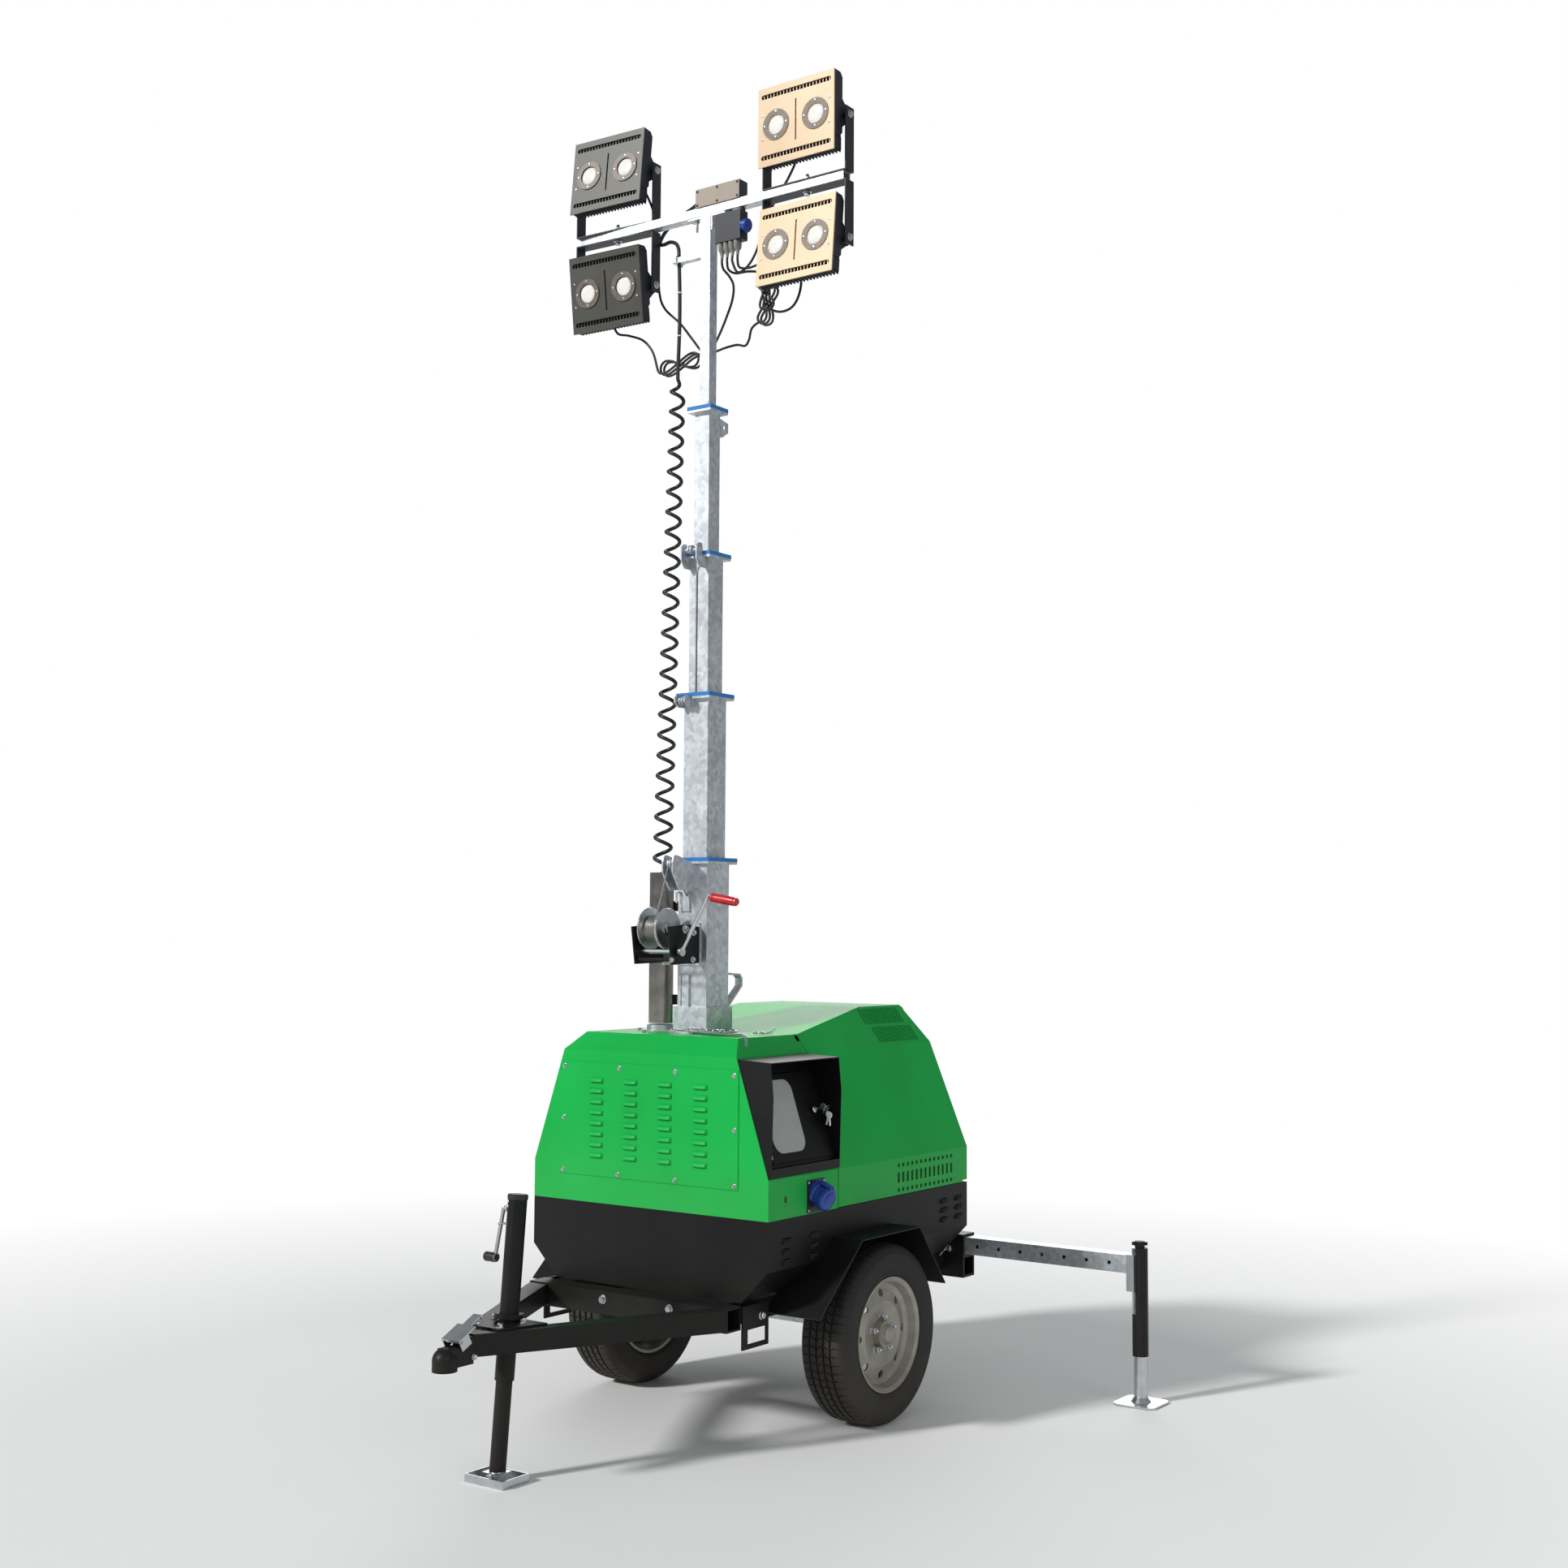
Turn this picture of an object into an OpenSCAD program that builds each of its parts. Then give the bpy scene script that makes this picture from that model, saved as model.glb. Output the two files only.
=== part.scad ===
// Mobile light tower, millimetres, +Z up, +X the control side, +Y the rear.

/* [Enclosure] */
// Width over the sides
body_w = 962; // [860:1:1100]
// Length of the enclosure
body_l = 1200; // [1050:1:1400]
// Front wall ahead of the wheels
front_lead = 550; // [480:1:620]
// Height where black meets green
split_z = 703; // [680:1:760]
// Height of the fold in the sides
knee_z = 827; // [800:1:880]
// Height of the shoulder
shoulder_z = 1194; // [1120:1:1260]
// Half width at the shoulder
shoulder_half = 356; // [320:1:400]
// Height of the mast deck
deck_z = 1250; // [1220:1:1320]
// Height of the rear hood
hood_z = 1323; // [1300:1:1400]
// Length of the fixed front part
front_part = 382; // [360:1:420]
// Sheet thickness
sheet = 4; // [3:0.5:5]

/* [Running gear] */
// Outer diameter of a tyre
tyre_d = 575; // [540:1:620]
// Width of a tyre
tyre_w = 172; // [150:1:190]
// Outer face of a tyre from the centre line
tyre_out = 578; // [560:1:620]
// Radius of the rim's flange
rim_r = 182.5; // [170:0.5:200]

/* [Chassis] */
// Underside of the enclosure
tub_z = 448; // [430:1:470]
// Height of a rail
rail_h = 72; // [60:1:80]
// Coupling ball ahead of the wheels
ball_lead = 1430; // [1300:1:1600]
// Nose jack behind the coupling ball
jack_back = 217; // [190:1:250]
// Backward lean of the nose jack
jack_lean = 5; // [0:0.5:6]

/* [Outriggers] */
// Leg from the centre line
leg_x = 1100; // [1000:1:1200]
// Beam behind the wheels
beam_back = 747; // [735:1:800]
// Side of a square beam
beam_s = 60; // [50:1:64]

/* [Mast] */
// Mast ahead of the wheels
mast_lead = 265; // [258:1:290]
// Outer side of the lowest section
mast_s = 120; // [112:1:128]
// Step in side from section to section
mast_step = 20; // [19:0.5:21]
// Wall of a section
mast_t = 4; // [3:0.5:4]
// Length of the lower sections
mast_l = 1300; // [1250:1:1320]
// Top of section one
top_1 = 1828; // [1800:1:1900]
// Section two above section one
show_2 = 552; // [500:1:600]
// Section three above section two
show_3 = 477; // [430:1:540]
// Section four above section three
show_4 = 503; // [450:1:560]
// Lamp bar above section four
show_5 = 685; // [660:1:740]
// Length of the lamp bar
bar_l = 1132; // [1090:1:1200]

/* [Lamps] */
// Width of a lamp
lamp_w = 304; // [290:1:320]
// Height of a lamp
lamp_h = 268; // [250:1:280]
// Depth of a lamp's casting
lamp_t = 50; // [44:1:56]
// Lamp centre from the end of the bar
lamp_in = 156; // [150:1:170]
// Lamp pivot from the bar
lamp_rise = 206; // [200:1:215]

/* [Hidden] */
$fn = 40;
eps = 0.01;
gap = 5;
slip = 0.3;
hw = body_w / 2;
fy = -front_lead;
ry = fy + body_l;
seam = fy + front_part;
my = -mast_lead;
jack_lead = ball_lead - jack_back;
foot_r = 75;
nose_r = 36;
// the wheels stand this far behind the middle of the whole length
ay = ((ball_lead + nose_r) - (beam_back + foot_r)) / 2;
module at() { translate([0, ay, 0]) children(); }
module both() { children(); mirror([1, 0, 0]) children(); }
module block(lo, hi) { translate(lo) cube(hi - lo); }
module rod(a, b, r, r2 = -1) {
  v = b - a;
  translate(a) rotate([0, acos(v[2] / norm(v)), atan2(v[1], v[0])]) cylinder(h = norm(v), r1 = r, r2 = r2 < 0 ? r : r2);
}
// prism of an outline in the XZ plane, from y0 to y1
module along_y(y0, y1) { translate([0, y1, 0]) rotate([90, 0, 0]) linear_extrude(y1 - y0) children(); }
// prism of an outline in the YZ plane, from x0 to x1
module along_x(x0, x1) { translate([x0, 0, 0]) rotate([90, 0, 90]) linear_extrude(x1 - x0) children(); }

// chassis
rail_x = 320;
rail_w = 60;
rail_lo = tub_z - rail_h;
kink_y = fy - 66;
kink_x = 372;
recv_wall = 4;
recv_in = beam_s + 2 * gap;
recv_h = 2 * recv_in + 3 * recv_wall;
recv_lo = tub_z + 56 - recv_h;
recv_y0 = beam_back - recv_in / 2 - recv_wall;
recv_y1 = beam_back + recv_in / 2 + recv_wall;
recv_x = 432;
beam_zl = recv_lo + recv_wall + recv_in / 2;
beam_zr = beam_zl + recv_in + recv_wall;
axle_z = tyre_d / 2;
module chassis_frame() {
  both() block([rail_x - rail_w / 2, kink_y + 36, rail_lo], [rail_x + rail_w / 2, recv_y0, tub_z]);
  difference() {
    block([-kink_x - 30, kink_y - 36, rail_lo], [kink_x + 30, kink_y + 36, tub_z]);
    block([-kink_x - 31, kink_y - 30, rail_lo + 6], [kink_x + 31, kink_y + 30, tub_z - 6]);
  }
  block([-rail_x + rail_w / 2, -40, rail_lo + 8], [rail_x - rail_w / 2, 30, tub_z - 8]);
  block([-rail_x + rail_w / 2, my - 90, rail_lo + 8], [rail_x - rail_w / 2, my + 90, tub_z - 8]);
}
// plates with a window for a strap or a fork tip
loop_x = kink_x + 30;
module tie_loops() {
  both() {
    difference() {
      block([loop_x, kink_y + 38, rail_lo - 62], [loop_x + 6, kink_y + 172, tub_z - 4]);
      block([loop_x - 1, kink_y + 64, rail_lo - 48], [loop_x + 7, kink_y + 160, rail_lo - 4]);
    }
    block([rail_x + rail_w / 2, kink_y + 130, rail_lo], [loop_x, kink_y + 168, rail_lo + 40]);
  }
}
// two square channels across the back, one for each outrigger
module receiver() {
  difference() {
    block([-recv_x, recv_y0, recv_lo], [recv_x, recv_y1, recv_lo + recv_h]);
    for (z = [beam_zl, beam_zr]) {
      pad = beam_s / 2 + slip;
      block([-recv_x - 1, beam_back - pad, z - pad], [recv_x + 1, beam_back + pad, z + pad]);
      block([-recv_x + 24, beam_back - recv_in / 2, z - recv_in / 2], [recv_x - 24, beam_back + recv_in / 2, z + recv_in / 2]);
    }
  }
}

// drawbar: two beams that meet at the coupler
nose_y = -ball_lead + 92;
jack_hole = 28.5;
module beam_run(x) {
  linear_extrude(rail_h - 8) polygon([[x * (kink_x + 28), kink_y - 36], [x * (kink_x - 44), kink_y - 36],
    [x * 6, nose_y + 36], [x * 6, nose_y - 8], [x * 30, nose_y - 8], [x * 40, nose_y + 8]]);
}
module drawbar() {
  difference() {
    union() {
      translate([0, 0, rail_lo + 4]) {
        beam_run(1);
        beam_run(-1);
        linear_extrude(rail_h - 8) polygon([[-6, nose_y - 8], [6, nose_y - 8], [6, nose_y + 60], [-6, nose_y + 60]]);
      }
      translate([0, 0, tub_z - 4]) linear_extrude(7)
        polygon([[-62, -jack_lead - 66], [62, -jack_lead - 66], [112, -jack_lead + 84], [-112, -jack_lead + 84]]);
    }
    jack_axis() translate([0, 0, 200]) cylinder(h = 500, r = jack_hole);
  }
}
// coupling head for a 50 mm ball
ball_z = 366;
ball_r = 25.3;
module coupler() {
  difference() {
    union() {
      translate([0, -ball_lead, ball_z - 14]) cylinder(h = 30, r = nose_r);
      translate([0, -ball_lead, ball_z + 16]) sphere(r = nose_r);
      block([-30, -ball_lead, ball_z - 4], [30, nose_y - 8, ball_z + 46]);
      block([-30, nose_y - 8 - 24, rail_lo - 8], [30, nose_y - 8, tub_z - 8]);
    }
    translate([0, -ball_lead, ball_z - 40]) cylinder(h = 40, r = ball_r);
    translate([0, -ball_lead, ball_z]) sphere(r = ball_r);
    block([-60, -ball_lead - 60, ball_z - 80], [60, -ball_lead + 60, ball_z - 14]);
    latch_at() rotate([0, 90, 0]) translate([0, 0, -40]) cylinder(h = 80, r = 5);
  }
}
latch_y = -ball_lead + 34;
latch_z = ball_z + 62;
module latch_at() { translate([0, latch_y, latch_z]) children(); }
module coupler_latch() {
  latch_at() rotate([27, 0, 0]) {
    both() block([31, -10, -22], [35, 30, 12]);
    block([-35, -10, 8], [35, 62, 12]);
    block([-16, 60, 8], [16, 112, 12]);
    block([-16, 108, 0], [16, 112, 12]);
  }
  latch_at() rotate([0, 90, 0]) translate([0, 0, -40]) cylinder(h = 80, r = 4.7);
}
// nose jack on its leaning axis
module jack_axis() { translate([0, -jack_lead, 0]) rotate([-jack_lean, 0, 0]) children(); }
jack_top = 812;
jack_leg_l = jack_top - 252;
jack_r = 28.5;
module jack_tube() {
  jack_axis() {
    difference() {
      translate([0, 0, 285]) cylinder(h = jack_top - 285, r = jack_r);
      translate([0, 0, 284]) cylinder(h = jack_top - 289, r = 24.5);
      translate([-60, 0, jack_top - 40]) rotate([0, 90, 0]) cylinder(h = 50, r = 7);
    }
    difference() {
      translate([0, 0, tub_z + 12]) cylinder(h = 14, r = 44);
      translate([0, 0, tub_z]) cylinder(h = 40, r = jack_r - 1);
    }
  }
}
module jack_crank() {
  jack_axis() translate([-jack_r - 20, 0, jack_top - 40]) {
    rotate([0, 90, 0]) cylinder(h = 40, r = 6.5);
    rotate([0, 8, 0]) translate([-4, 0, -150]) cylinder(h = 150, r = 6);
    translate([-60, 0, -146]) rotate([0, 90, 0]) cylinder(h = 42, r = 13);
  }
}
module jack_leg() {
  jack_axis() difference() {
    translate([0, 0, 20]) cylinder(h = jack_leg_l, r = 24.5 - slip);
    translate([0, 0, 40]) cylinder(h = jack_leg_l, r = 20);
  }
  translate([0, -jack_lead, 0]) difference() {
    union() {
      block([-75, -55, 0], [75, 55, 5]);
      both() block([71, -55, 0], [75, 55, 24]);
      for (s = [-1, 1]) block([-75, s * 53 - 2, 0], [75, s * 53 + 2, 24]);
      block([-32, -28, 5], [32, 28, 30]);
    }
    block([-24, -24, 30.5], [24, 24, 40]);
  }
}

// axle with trailing arms
module axle() {
  block([-rail_x + 0, -118, rail_lo - 64], [rail_x - 0, -54, rail_lo]);
  both() {
    block([rail_x, -118, rail_lo - 64], [rail_x + 42, -54, rail_lo - 4]);
    along_x(rail_x + 42, rail_x + 58) polygon([[-118, rail_lo - 4], [-54, rail_lo - 4], [34, axle_z + 24], [34, axle_z - 26], [-8, axle_z - 34], [-118, rail_lo - 64]]);
    translate([rail_x + 58, 0, axle_z]) rotate([0, 90, 0]) cylinder(h = tyre_mid + 60 - rail_x - 58, r = 16);
    translate([rail_x + 58, 0, axle_z]) rotate([0, 90, 0]) cylinder(h = 8, r = 30);
  }
}
tyre_in = tyre_out - tyre_w;
tyre_mid = tyre_out - tyre_w / 2;
module tyre() {
  r = tyre_d / 2;
  h = tyre_w / 2;
  translate([tyre_mid, 0, axle_z]) rotate([0, 90, 0]) rotate_extrude($fn = 72) polygon(concat(
    [[rim_r - 6, -h + 30], [rim_r + 2, -h + 12], [rim_r + 30, -h + 2], [r - 55, -h], [r - 22, -h + 6], [r - 4, -h + 20]],
    [for (g = [-39, -13, 13, 39]) each [[r, g - 4], [r - 7, g - 3], [r - 7, g + 3], [r, g + 4]]],
    [[r - 4, h - 20], [r - 22, h - 6], [r - 55, h], [rim_r + 30, h - 2], [rim_r + 2, h - 12], [rim_r - 6, h - 30]]));
}
module rim() {
  h = tyre_w / 2;
  translate([tyre_mid, 0, axle_z]) rotate([0, 90, 0]) difference() {
    rotate_extrude($fn = 72) polygon([[rim_r - 9, -h + 10], [rim_r + 1, -h + 8], [rim_r + 1, -h + 11], [rim_r - 6.5, -h + 13],
      [rim_r - 6.5, h - 13], [rim_r + 1, h - 11], [rim_r + 1, h - 8], [rim_r - 3, h - 7], [rim_r - 14, h - 14],
      [rim_r - 24, h - 38], [rim_r - 40, h - 46], [rim_r - 62, h - 40], [rim_r - 78, h - 34], [60, h - 44], [44, h - 44],
      [42, h - 20], [16.3, h - 17], [16.3, -h + 68], [44, -h + 68], [60, -h + 74], [60, h - 52], [rim_r - 76, h - 42],
      [rim_r - 40, h - 53], [rim_r - 28, h - 46], [rim_r - 16, h - 34], [rim_r - 16, -h + 22]]);
    for (a = [0:45:315]) rotate(a) translate([rim_r - 53, 0, 0]) cylinder(h = h, r = 13);
  }
}

// mudguard outline over the wheel, along Y and Z
arch = [[-430, 402], [-192, 612], [150, 612], [312, 408]];
arch_up = [[-434, 406], [-194, 616], [152, 616], [316, 410]];
arch_x = hw - 92;
module mudguards() {
  both() along_x(arch_x, tyre_out + 14) polygon([arch[0], arch[1], arch[2], arch[3], arch_up[3], arch_up[2], arch_up[1], arch_up[0]]);
}

// black tub
skirt_z = tub_z + 102;
skirt_half = hw - 102;
function tub_pts(t, top) = [[hw - t, top], [hw - t, skirt_z + t * 0.4], [skirt_half - t * 0.4, tub_z + t],
  [-skirt_half + t * 0.4, tub_z + t], [-hw + t, skirt_z + t * 0.4], [-hw + t, top]];
module arch_cut(x0, x1, t) {
  along_x(x0, x1) polygon([[arch_up[0][0] - t - 60, tub_z - 40], [arch_up[0][0] - t, arch_up[0][1] + t], [arch_up[1][0] - t, arch_up[1][1] + t],
    [arch_up[2][0] + t, arch_up[2][1] + t], [arch_up[3][0] + t, arch_up[3][1] + t], [arch_up[3][0] + t + 60, tub_z - 40]]);
}
module tub() {
  difference() {
    along_y(fy, ry) polygon(tub_pts(0, split_z));
    difference() {
      along_y(fy + sheet, ry - sheet) polygon(tub_pts(sheet, split_z + 1));
      both() arch_cut(arch_x - sheet, hw + 20, sheet);
    }
    both() arch_cut(arch_x, hw + 20, 0);
    both() for (g = [[fy + 78, 572], [ry - 178, 590]]) for (i = [0, 1, 2]) for (j = [0, 1])
      block([hw - 10, g[0] + j * 150 * (g[0] > 0 ? 0.66 : 1) , g[1] + i * 32], [hw + 5, g[0] + j * 150 * (g[0] > 0 ? 0.66 : 1) + 40, g[1] + i * 32 + 9]);
  }
}

// green canopy, front part
deck_half = shoulder_half - 42;
chamfer_dx = (shoulder_half - deck_half) / (deck_z - shoulder_z);
deck_set = 64;
slope = atan((hw - shoulder_half) / (shoulder_z - knee_z));
slope_l = norm([hw - shoulder_half, shoulder_z - knee_z]);
module slope_at() { translate([hw, 0, knee_z]) rotate([0, -slope, 0]) children(); }
function canopy_pts(t, top, half, low) = [[hw - t, low], [hw - t, knee_z - t * 0.2], [shoulder_half - t, shoulder_z - t * 0.3],
  [half - t * 0.6, top - t], [-half + t * 0.6, top - t], [-shoulder_half + t, shoulder_z - t * 0.3], [-hw + t, knee_z - t * 0.2], [-hw + t, low]];
panel_w = 700;
panel_y0 = fy + 18;
panel_y1 = seam - 16;
win_z0 = 74;
win_z1 = 306;
module front_canopy() {
  difference() {
    intersection() {
      along_y(fy, seam - 2) polygon(canopy_pts(0, deck_z, deck_half, split_z));
      along_x(-hw - 1, hw + 1) polygon([[fy, split_z], [fy, shoulder_z], [fy + deck_set, deck_z], [seam, deck_z], [seam, split_z]]);
    }
    intersection() {
      along_y(fy + sheet, seam - 2 - sheet) polygon(canopy_pts(sheet, deck_z, deck_half, split_z - 1));
      along_x(-hw - 1, hw + 1) polygon([[fy + sheet, split_z - 1], [fy + sheet, shoulder_z - sheet * 0.4], [fy + deck_set, deck_z - sheet], [seam, deck_z - sheet], [seam, split_z - 1]]);
    }
    // rear bulkhead is open to the engine room
    block([-330, seam - 20, split_z - 1], [330, seam + 5, deck_z - sheet]);
    // air intake behind the louvre panel
    block([-240, fy - 5, knee_z + 40], [240, fy + 30, shoulder_z - 60]);
    // mast well
    translate([0, my, deck_z - 40]) cylinder(h = 80, r = mast_s * 0.5 * 1.4142 + 6);
    // control opening
    slope_at() block([-30, panel_y0 + 14, 50], [30, panel_y1 - 10, 330]);
  }
}
// louvred panel on the front wall
louv_x = [-132, -44, 44, 132];
function panel_half(z) = hw - 22 - (z > knee_z ? (z - knee_z) * tan(slope) : 0);
louv_z = knee_z + 61;
louv_step = 31;
louv_half = 29;
// pressed hood of one louvre, open at its foot; h widens it and t thins it
module louvre_hood(h, t) {
  along_x(-h, h) polygon([[fy - 1 + 2 * t, 3 - 2 * t], [fy - 3, 1.5 - t], [fy - 13 + t, -11 - t], [fy - 1 + 2 * t, -11 - t]]);
}
module louvre_panel() {
  z0 = knee_z - 38;
  z1 = shoulder_z - 20;
  right = [for (z = [z0, knee_z, z1]) [panel_half(z), z]];
  left = [for (z = [z1, knee_z, z0]) [-panel_half(z), z]];
  difference() {
    union() {
      along_y(fy - 3, fy) polygon(concat(right, left));
      for (x = louv_x, i = [0:7]) translate([x, 0, louv_z + i * louv_step]) louvre_hood(louv_half, 0);
    }
    for (x = louv_x, i = [0:7]) translate([x, 0, louv_z + i * louv_step]) louvre_hood(louv_half - 1.5, 1.5);
  }
}
// visor and door of the control desk
vis_x = hw + 8;
hinge_rows = [60, 250];
module control_visor() {
  top = shoulder_z - 6;
  cheek = 3;
  difference() {
    union() {
      difference() {
        along_y(fy + 2, seam - 4) polygon([[hw - 4, knee_z + 2], [vis_x, knee_z + 6], [vis_x + 6, top - 110],
          [vis_x - 4, top - 4], [shoulder_half - 4, top + 2]]);
        along_y(fy + 2 + cheek, seam - 4 - cheek) polygon([[hw + 60, knee_z + 34], [hw - 60, knee_z + 34],
          [shoulder_half - 60, top + 1.4], [vis_x - 4, top - 7.5], [vis_x + 60, top - 7.5]]);
      }
      slope_at() {
        difference() {
          block([-2, fy + 4, 30], [3, seam - 6, slope_l - 20]);
          block([-3, panel_y0 + 14, 50], [9, panel_y1 - 10, 330]);
        }
        for (z = hinge_rows) {
          for (e = [-8, 47]) block([-2, door_y - 4, z + e], [14, door_y + 3, z + e + 7]);
          translate([10, door_y, z - 4]) cylinder(h = 54, r = 2.2);
        }
      }
    }
    along_y(fy - 5, seam + 5) polygon([[hw, 0], [hw, knee_z], [shoulder_half, shoulder_z], [0, shoulder_z], [0, 0]]);
  }
}
module control_panel() {
  slope_at() {
    block([-34, panel_y0 + 4, 40], [-30, panel_y1, 340]);
    difference() {
      block([-30, panel_y0 + 8, 44], [-4.6, panel_y1 - 4, 336]);
      block([-31, panel_y0 + 14, 50], [5, panel_y1 - 10, 330]);
    }
    for (i = [0:3]) block([-30, panel_y0 + 60 + i * 55, 90], [-18, panel_y0 + 84 + i * 55, 126]);
    block([-30, panel_y0 + 60, 170], [-22, panel_y0 + 210, 280]);
    translate([-30, panel_y1 - 60, 220]) rotate([0, 90, 0]) cylinder(h = 14, r = 16);
  }
}
door_y = panel_y0 + 12;
win_r = 40;
win_w = 168;
// outline of the window, drawn in by i on all sides
module door_cut(i) {
  slope_at() translate([0, door_y + 36, 0]) {
    block([0, win_r, win_z0 + i], [16, win_w - win_r, win_z1 - i]);
    block([0, i, win_z0 + win_r], [16, win_w - i, win_z1 - win_r]);
    for (y = [win_r, win_w - win_r], z = [win_z0 + win_r, win_z1 - win_r])
      translate([0, y, z]) rotate([0, 90, 0]) cylinder(h = 16, r = win_r - i);
  }
}
module control_door() {
  difference() {
    slope_at() {
      block([4, door_y + 8, 46], [8, panel_y1 - 6, 324]);
      for (z = hinge_rows) translate([0, 0, 0.5]) difference() {
        union() {
          block([5, door_y, z], [8, door_y + 9, z + 45]);
          translate([10, door_y, z]) cylinder(h = 45, r = 5);
        }
        translate([10, door_y, z - 1]) cylinder(h = 47, r = 2.4);
      }
    }
    door_cut(0);
  }
  slope_at() translate([8, panel_y1 - 52, 196]) rotate([0, 90, 0]) cylinder(h = 10, r = 9);
}
module door_window() {
  intersection() {
    slope_at() block([4.5, door_y, win_z0], [7.5, door_y + 240, win_z1]);
    door_cut(slip);
  }
}

// tilting rear hood
hood_half = deck_half - (hood_z - deck_z) * chamfer_dx;
hood_y0 = seam + 450;
hood_y1 = ry - 99;
hood_low = split_z + 2;
function hood_pts(t, low) = [[hw - t, low], [hw - t, knee_z - t * 0.2], [shoulder_half - t, shoulder_z - t * 0.3],
  [hood_half - t * 0.6, hood_z - t], [-hood_half + t * 0.6, hood_z - t], [-shoulder_half + t, shoulder_z - t * 0.3], [-hw + t, knee_z - t * 0.2], [-hw + t, low]];
function hood_side(t, low) = [[seam + 2, low], [seam + 2, deck_z - t], [hood_y0, hood_z - t], [hood_y1 - t * 0.5, hood_z - t], [ry - 47 - t, shoulder_z],
  [ry - t, knee_z], [ry - t, low]];
hinge_y = ry + 12;
vent_run = (ry - seam) * 0.562;
hinge_z = split_z + 24;
module rear_hood() {
  difference() {
    intersection() {
      along_y(seam + 2, ry) polygon(hood_pts(0, hood_low));
      along_x(-hw - 1, hw + 1) polygon(hood_side(0, hood_low));
    }
    intersection() {
      along_y(seam - 5, ry) polygon(hood_pts(sheet, split_z - 1));
      along_x(-hw - 1, hw + 1) polygon(concat([[seam - 5, split_z - 1], [seam - 5, deck_z - sheet]], [for (i = [2:6]) hood_side(sheet, split_z - 1)[i]]));
    }
    block([-hw - 5, ry - 30, split_z - 5], [hw + 5, ry + 5, split_z + 8]);
    // slots in the shoulders
    both() for (i = [0:15]) for (j = [0, 1]) {
      s = hood_y0 - 16 + i * (hood_y1 - hood_y0 - 13) / 16;
      translate([shoulder_half, s, shoulder_z]) rotate([0, -atan(chamfer_dx), 0]) block([-15, j * 22, 12 + (1 - j) * 76], [15, j * 22 + 7, 12 + (1 - j) * 76 + 64]);
    }
    // vents under the fold
    both() for (i = [0:12]) for (v = [[12, 16], [42, 38], [94, 16]])
      block([hw - 12, ry - vent_run + i * vent_run / 16, split_z + v[0]],
        [hw + 5, ry - vent_run + i * vent_run / 16 + 13, split_z + v[0] + v[1] - 4]);
  }
  for (x = [-300, 268]) {
    translate([x, hinge_y, hinge_z]) rotate([0, 90, 0]) difference() { cylinder(h = 32, r = 11); translate([0, 0, -1]) cylinder(h = 34, r = 5.2); }
    block([x, ry - 0.5, hinge_z + 7], [x + 32, hinge_y - 3, hinge_z + 40]);
  }
}
module hinge_stand() {
  for (x = [-300, 268]) {
    for (e = [-9, 33]) {
      block([x + e, ry - 0.5, split_z - 40], [x + e + 8, hinge_y + 10, split_z - 6]);
      block([x + e, hinge_y - 7, split_z - 6], [x + e + 8, hinge_y + 10, hinge_z + 7]);
    }
    translate([x - 12, hinge_y, hinge_z]) rotate([0, 90, 0]) cylinder(h = 56, r = 5);
  }
}
module engine_block() {
  y0 = seam + 108;
  y1 = ry - 90;
  block([-shoulder_half + 106, y0, tub_z + 14], [shoulder_half - 106, y1, shoulder_z - 134]);
  both() block([150, y0 + 40, tub_z + sheet], [210, y1 - 40, tub_z + 14]);
}

// mast
top_2 = top_1 + show_2;
top_3 = top_2 + show_3;
top_4 = top_3 + show_4;
bar_z = top_4 + show_5;
bar_hy = 20;
bar_hz = 15;
tops = [top_1, top_2, top_3, top_4, bar_z - bar_hz];
function side(k) = mast_s - k * mast_step;
blue_t = 12.5;
collar_t = blue_t + 8;
collar_over = 20;
mast_floor = tub_z + 12;
function low(k) = k == 0 ? mast_floor : k == 4 ? tops[4] - mast_l - 130 : tops[k] - mast_l;
module sq_tube(s, t, z0, z1) {
  translate([0, my, 0]) difference() {
    block([-s / 2, -s / 2, z0], [s / 2, s / 2, z1]);
    block([-s / 2 + t, -s / 2 + t, z0 - 1], [s / 2 - t, s / 2 - t, z1 + 1]);
  }
}
module plate_on(k, z0, z1, over, room) {
  h = side(k) / 2 + over;
  i = side(k + 1) / 2 + room;
  translate([0, my, 0]) difference() {
    block([-h, -h, z0], [h, h, z1]);
    block([-i, -i, z0 - 1], [i, i, z1 + 1]);
  }
}
module mast_stage(k) {
  sq_tube(side(k), mast_t, low(k), tops[k] - (k < 4 ? collar_t : 0));
  if (k < 4) plate_on(k, tops[k] - collar_t, tops[k] - blue_t, collar_over - 1, gap);
}
module pulley(x, y, z, r) {
  translate([x, y, z]) rotate([0, 90, 0]) {
    cylinder(h = 4, r = r);
    translate([0, 0, 4]) cylinder(h = 6, r = r - 5);
    translate([0, 0, 10]) cylinder(h = 4, r = r);
  }
}
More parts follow.
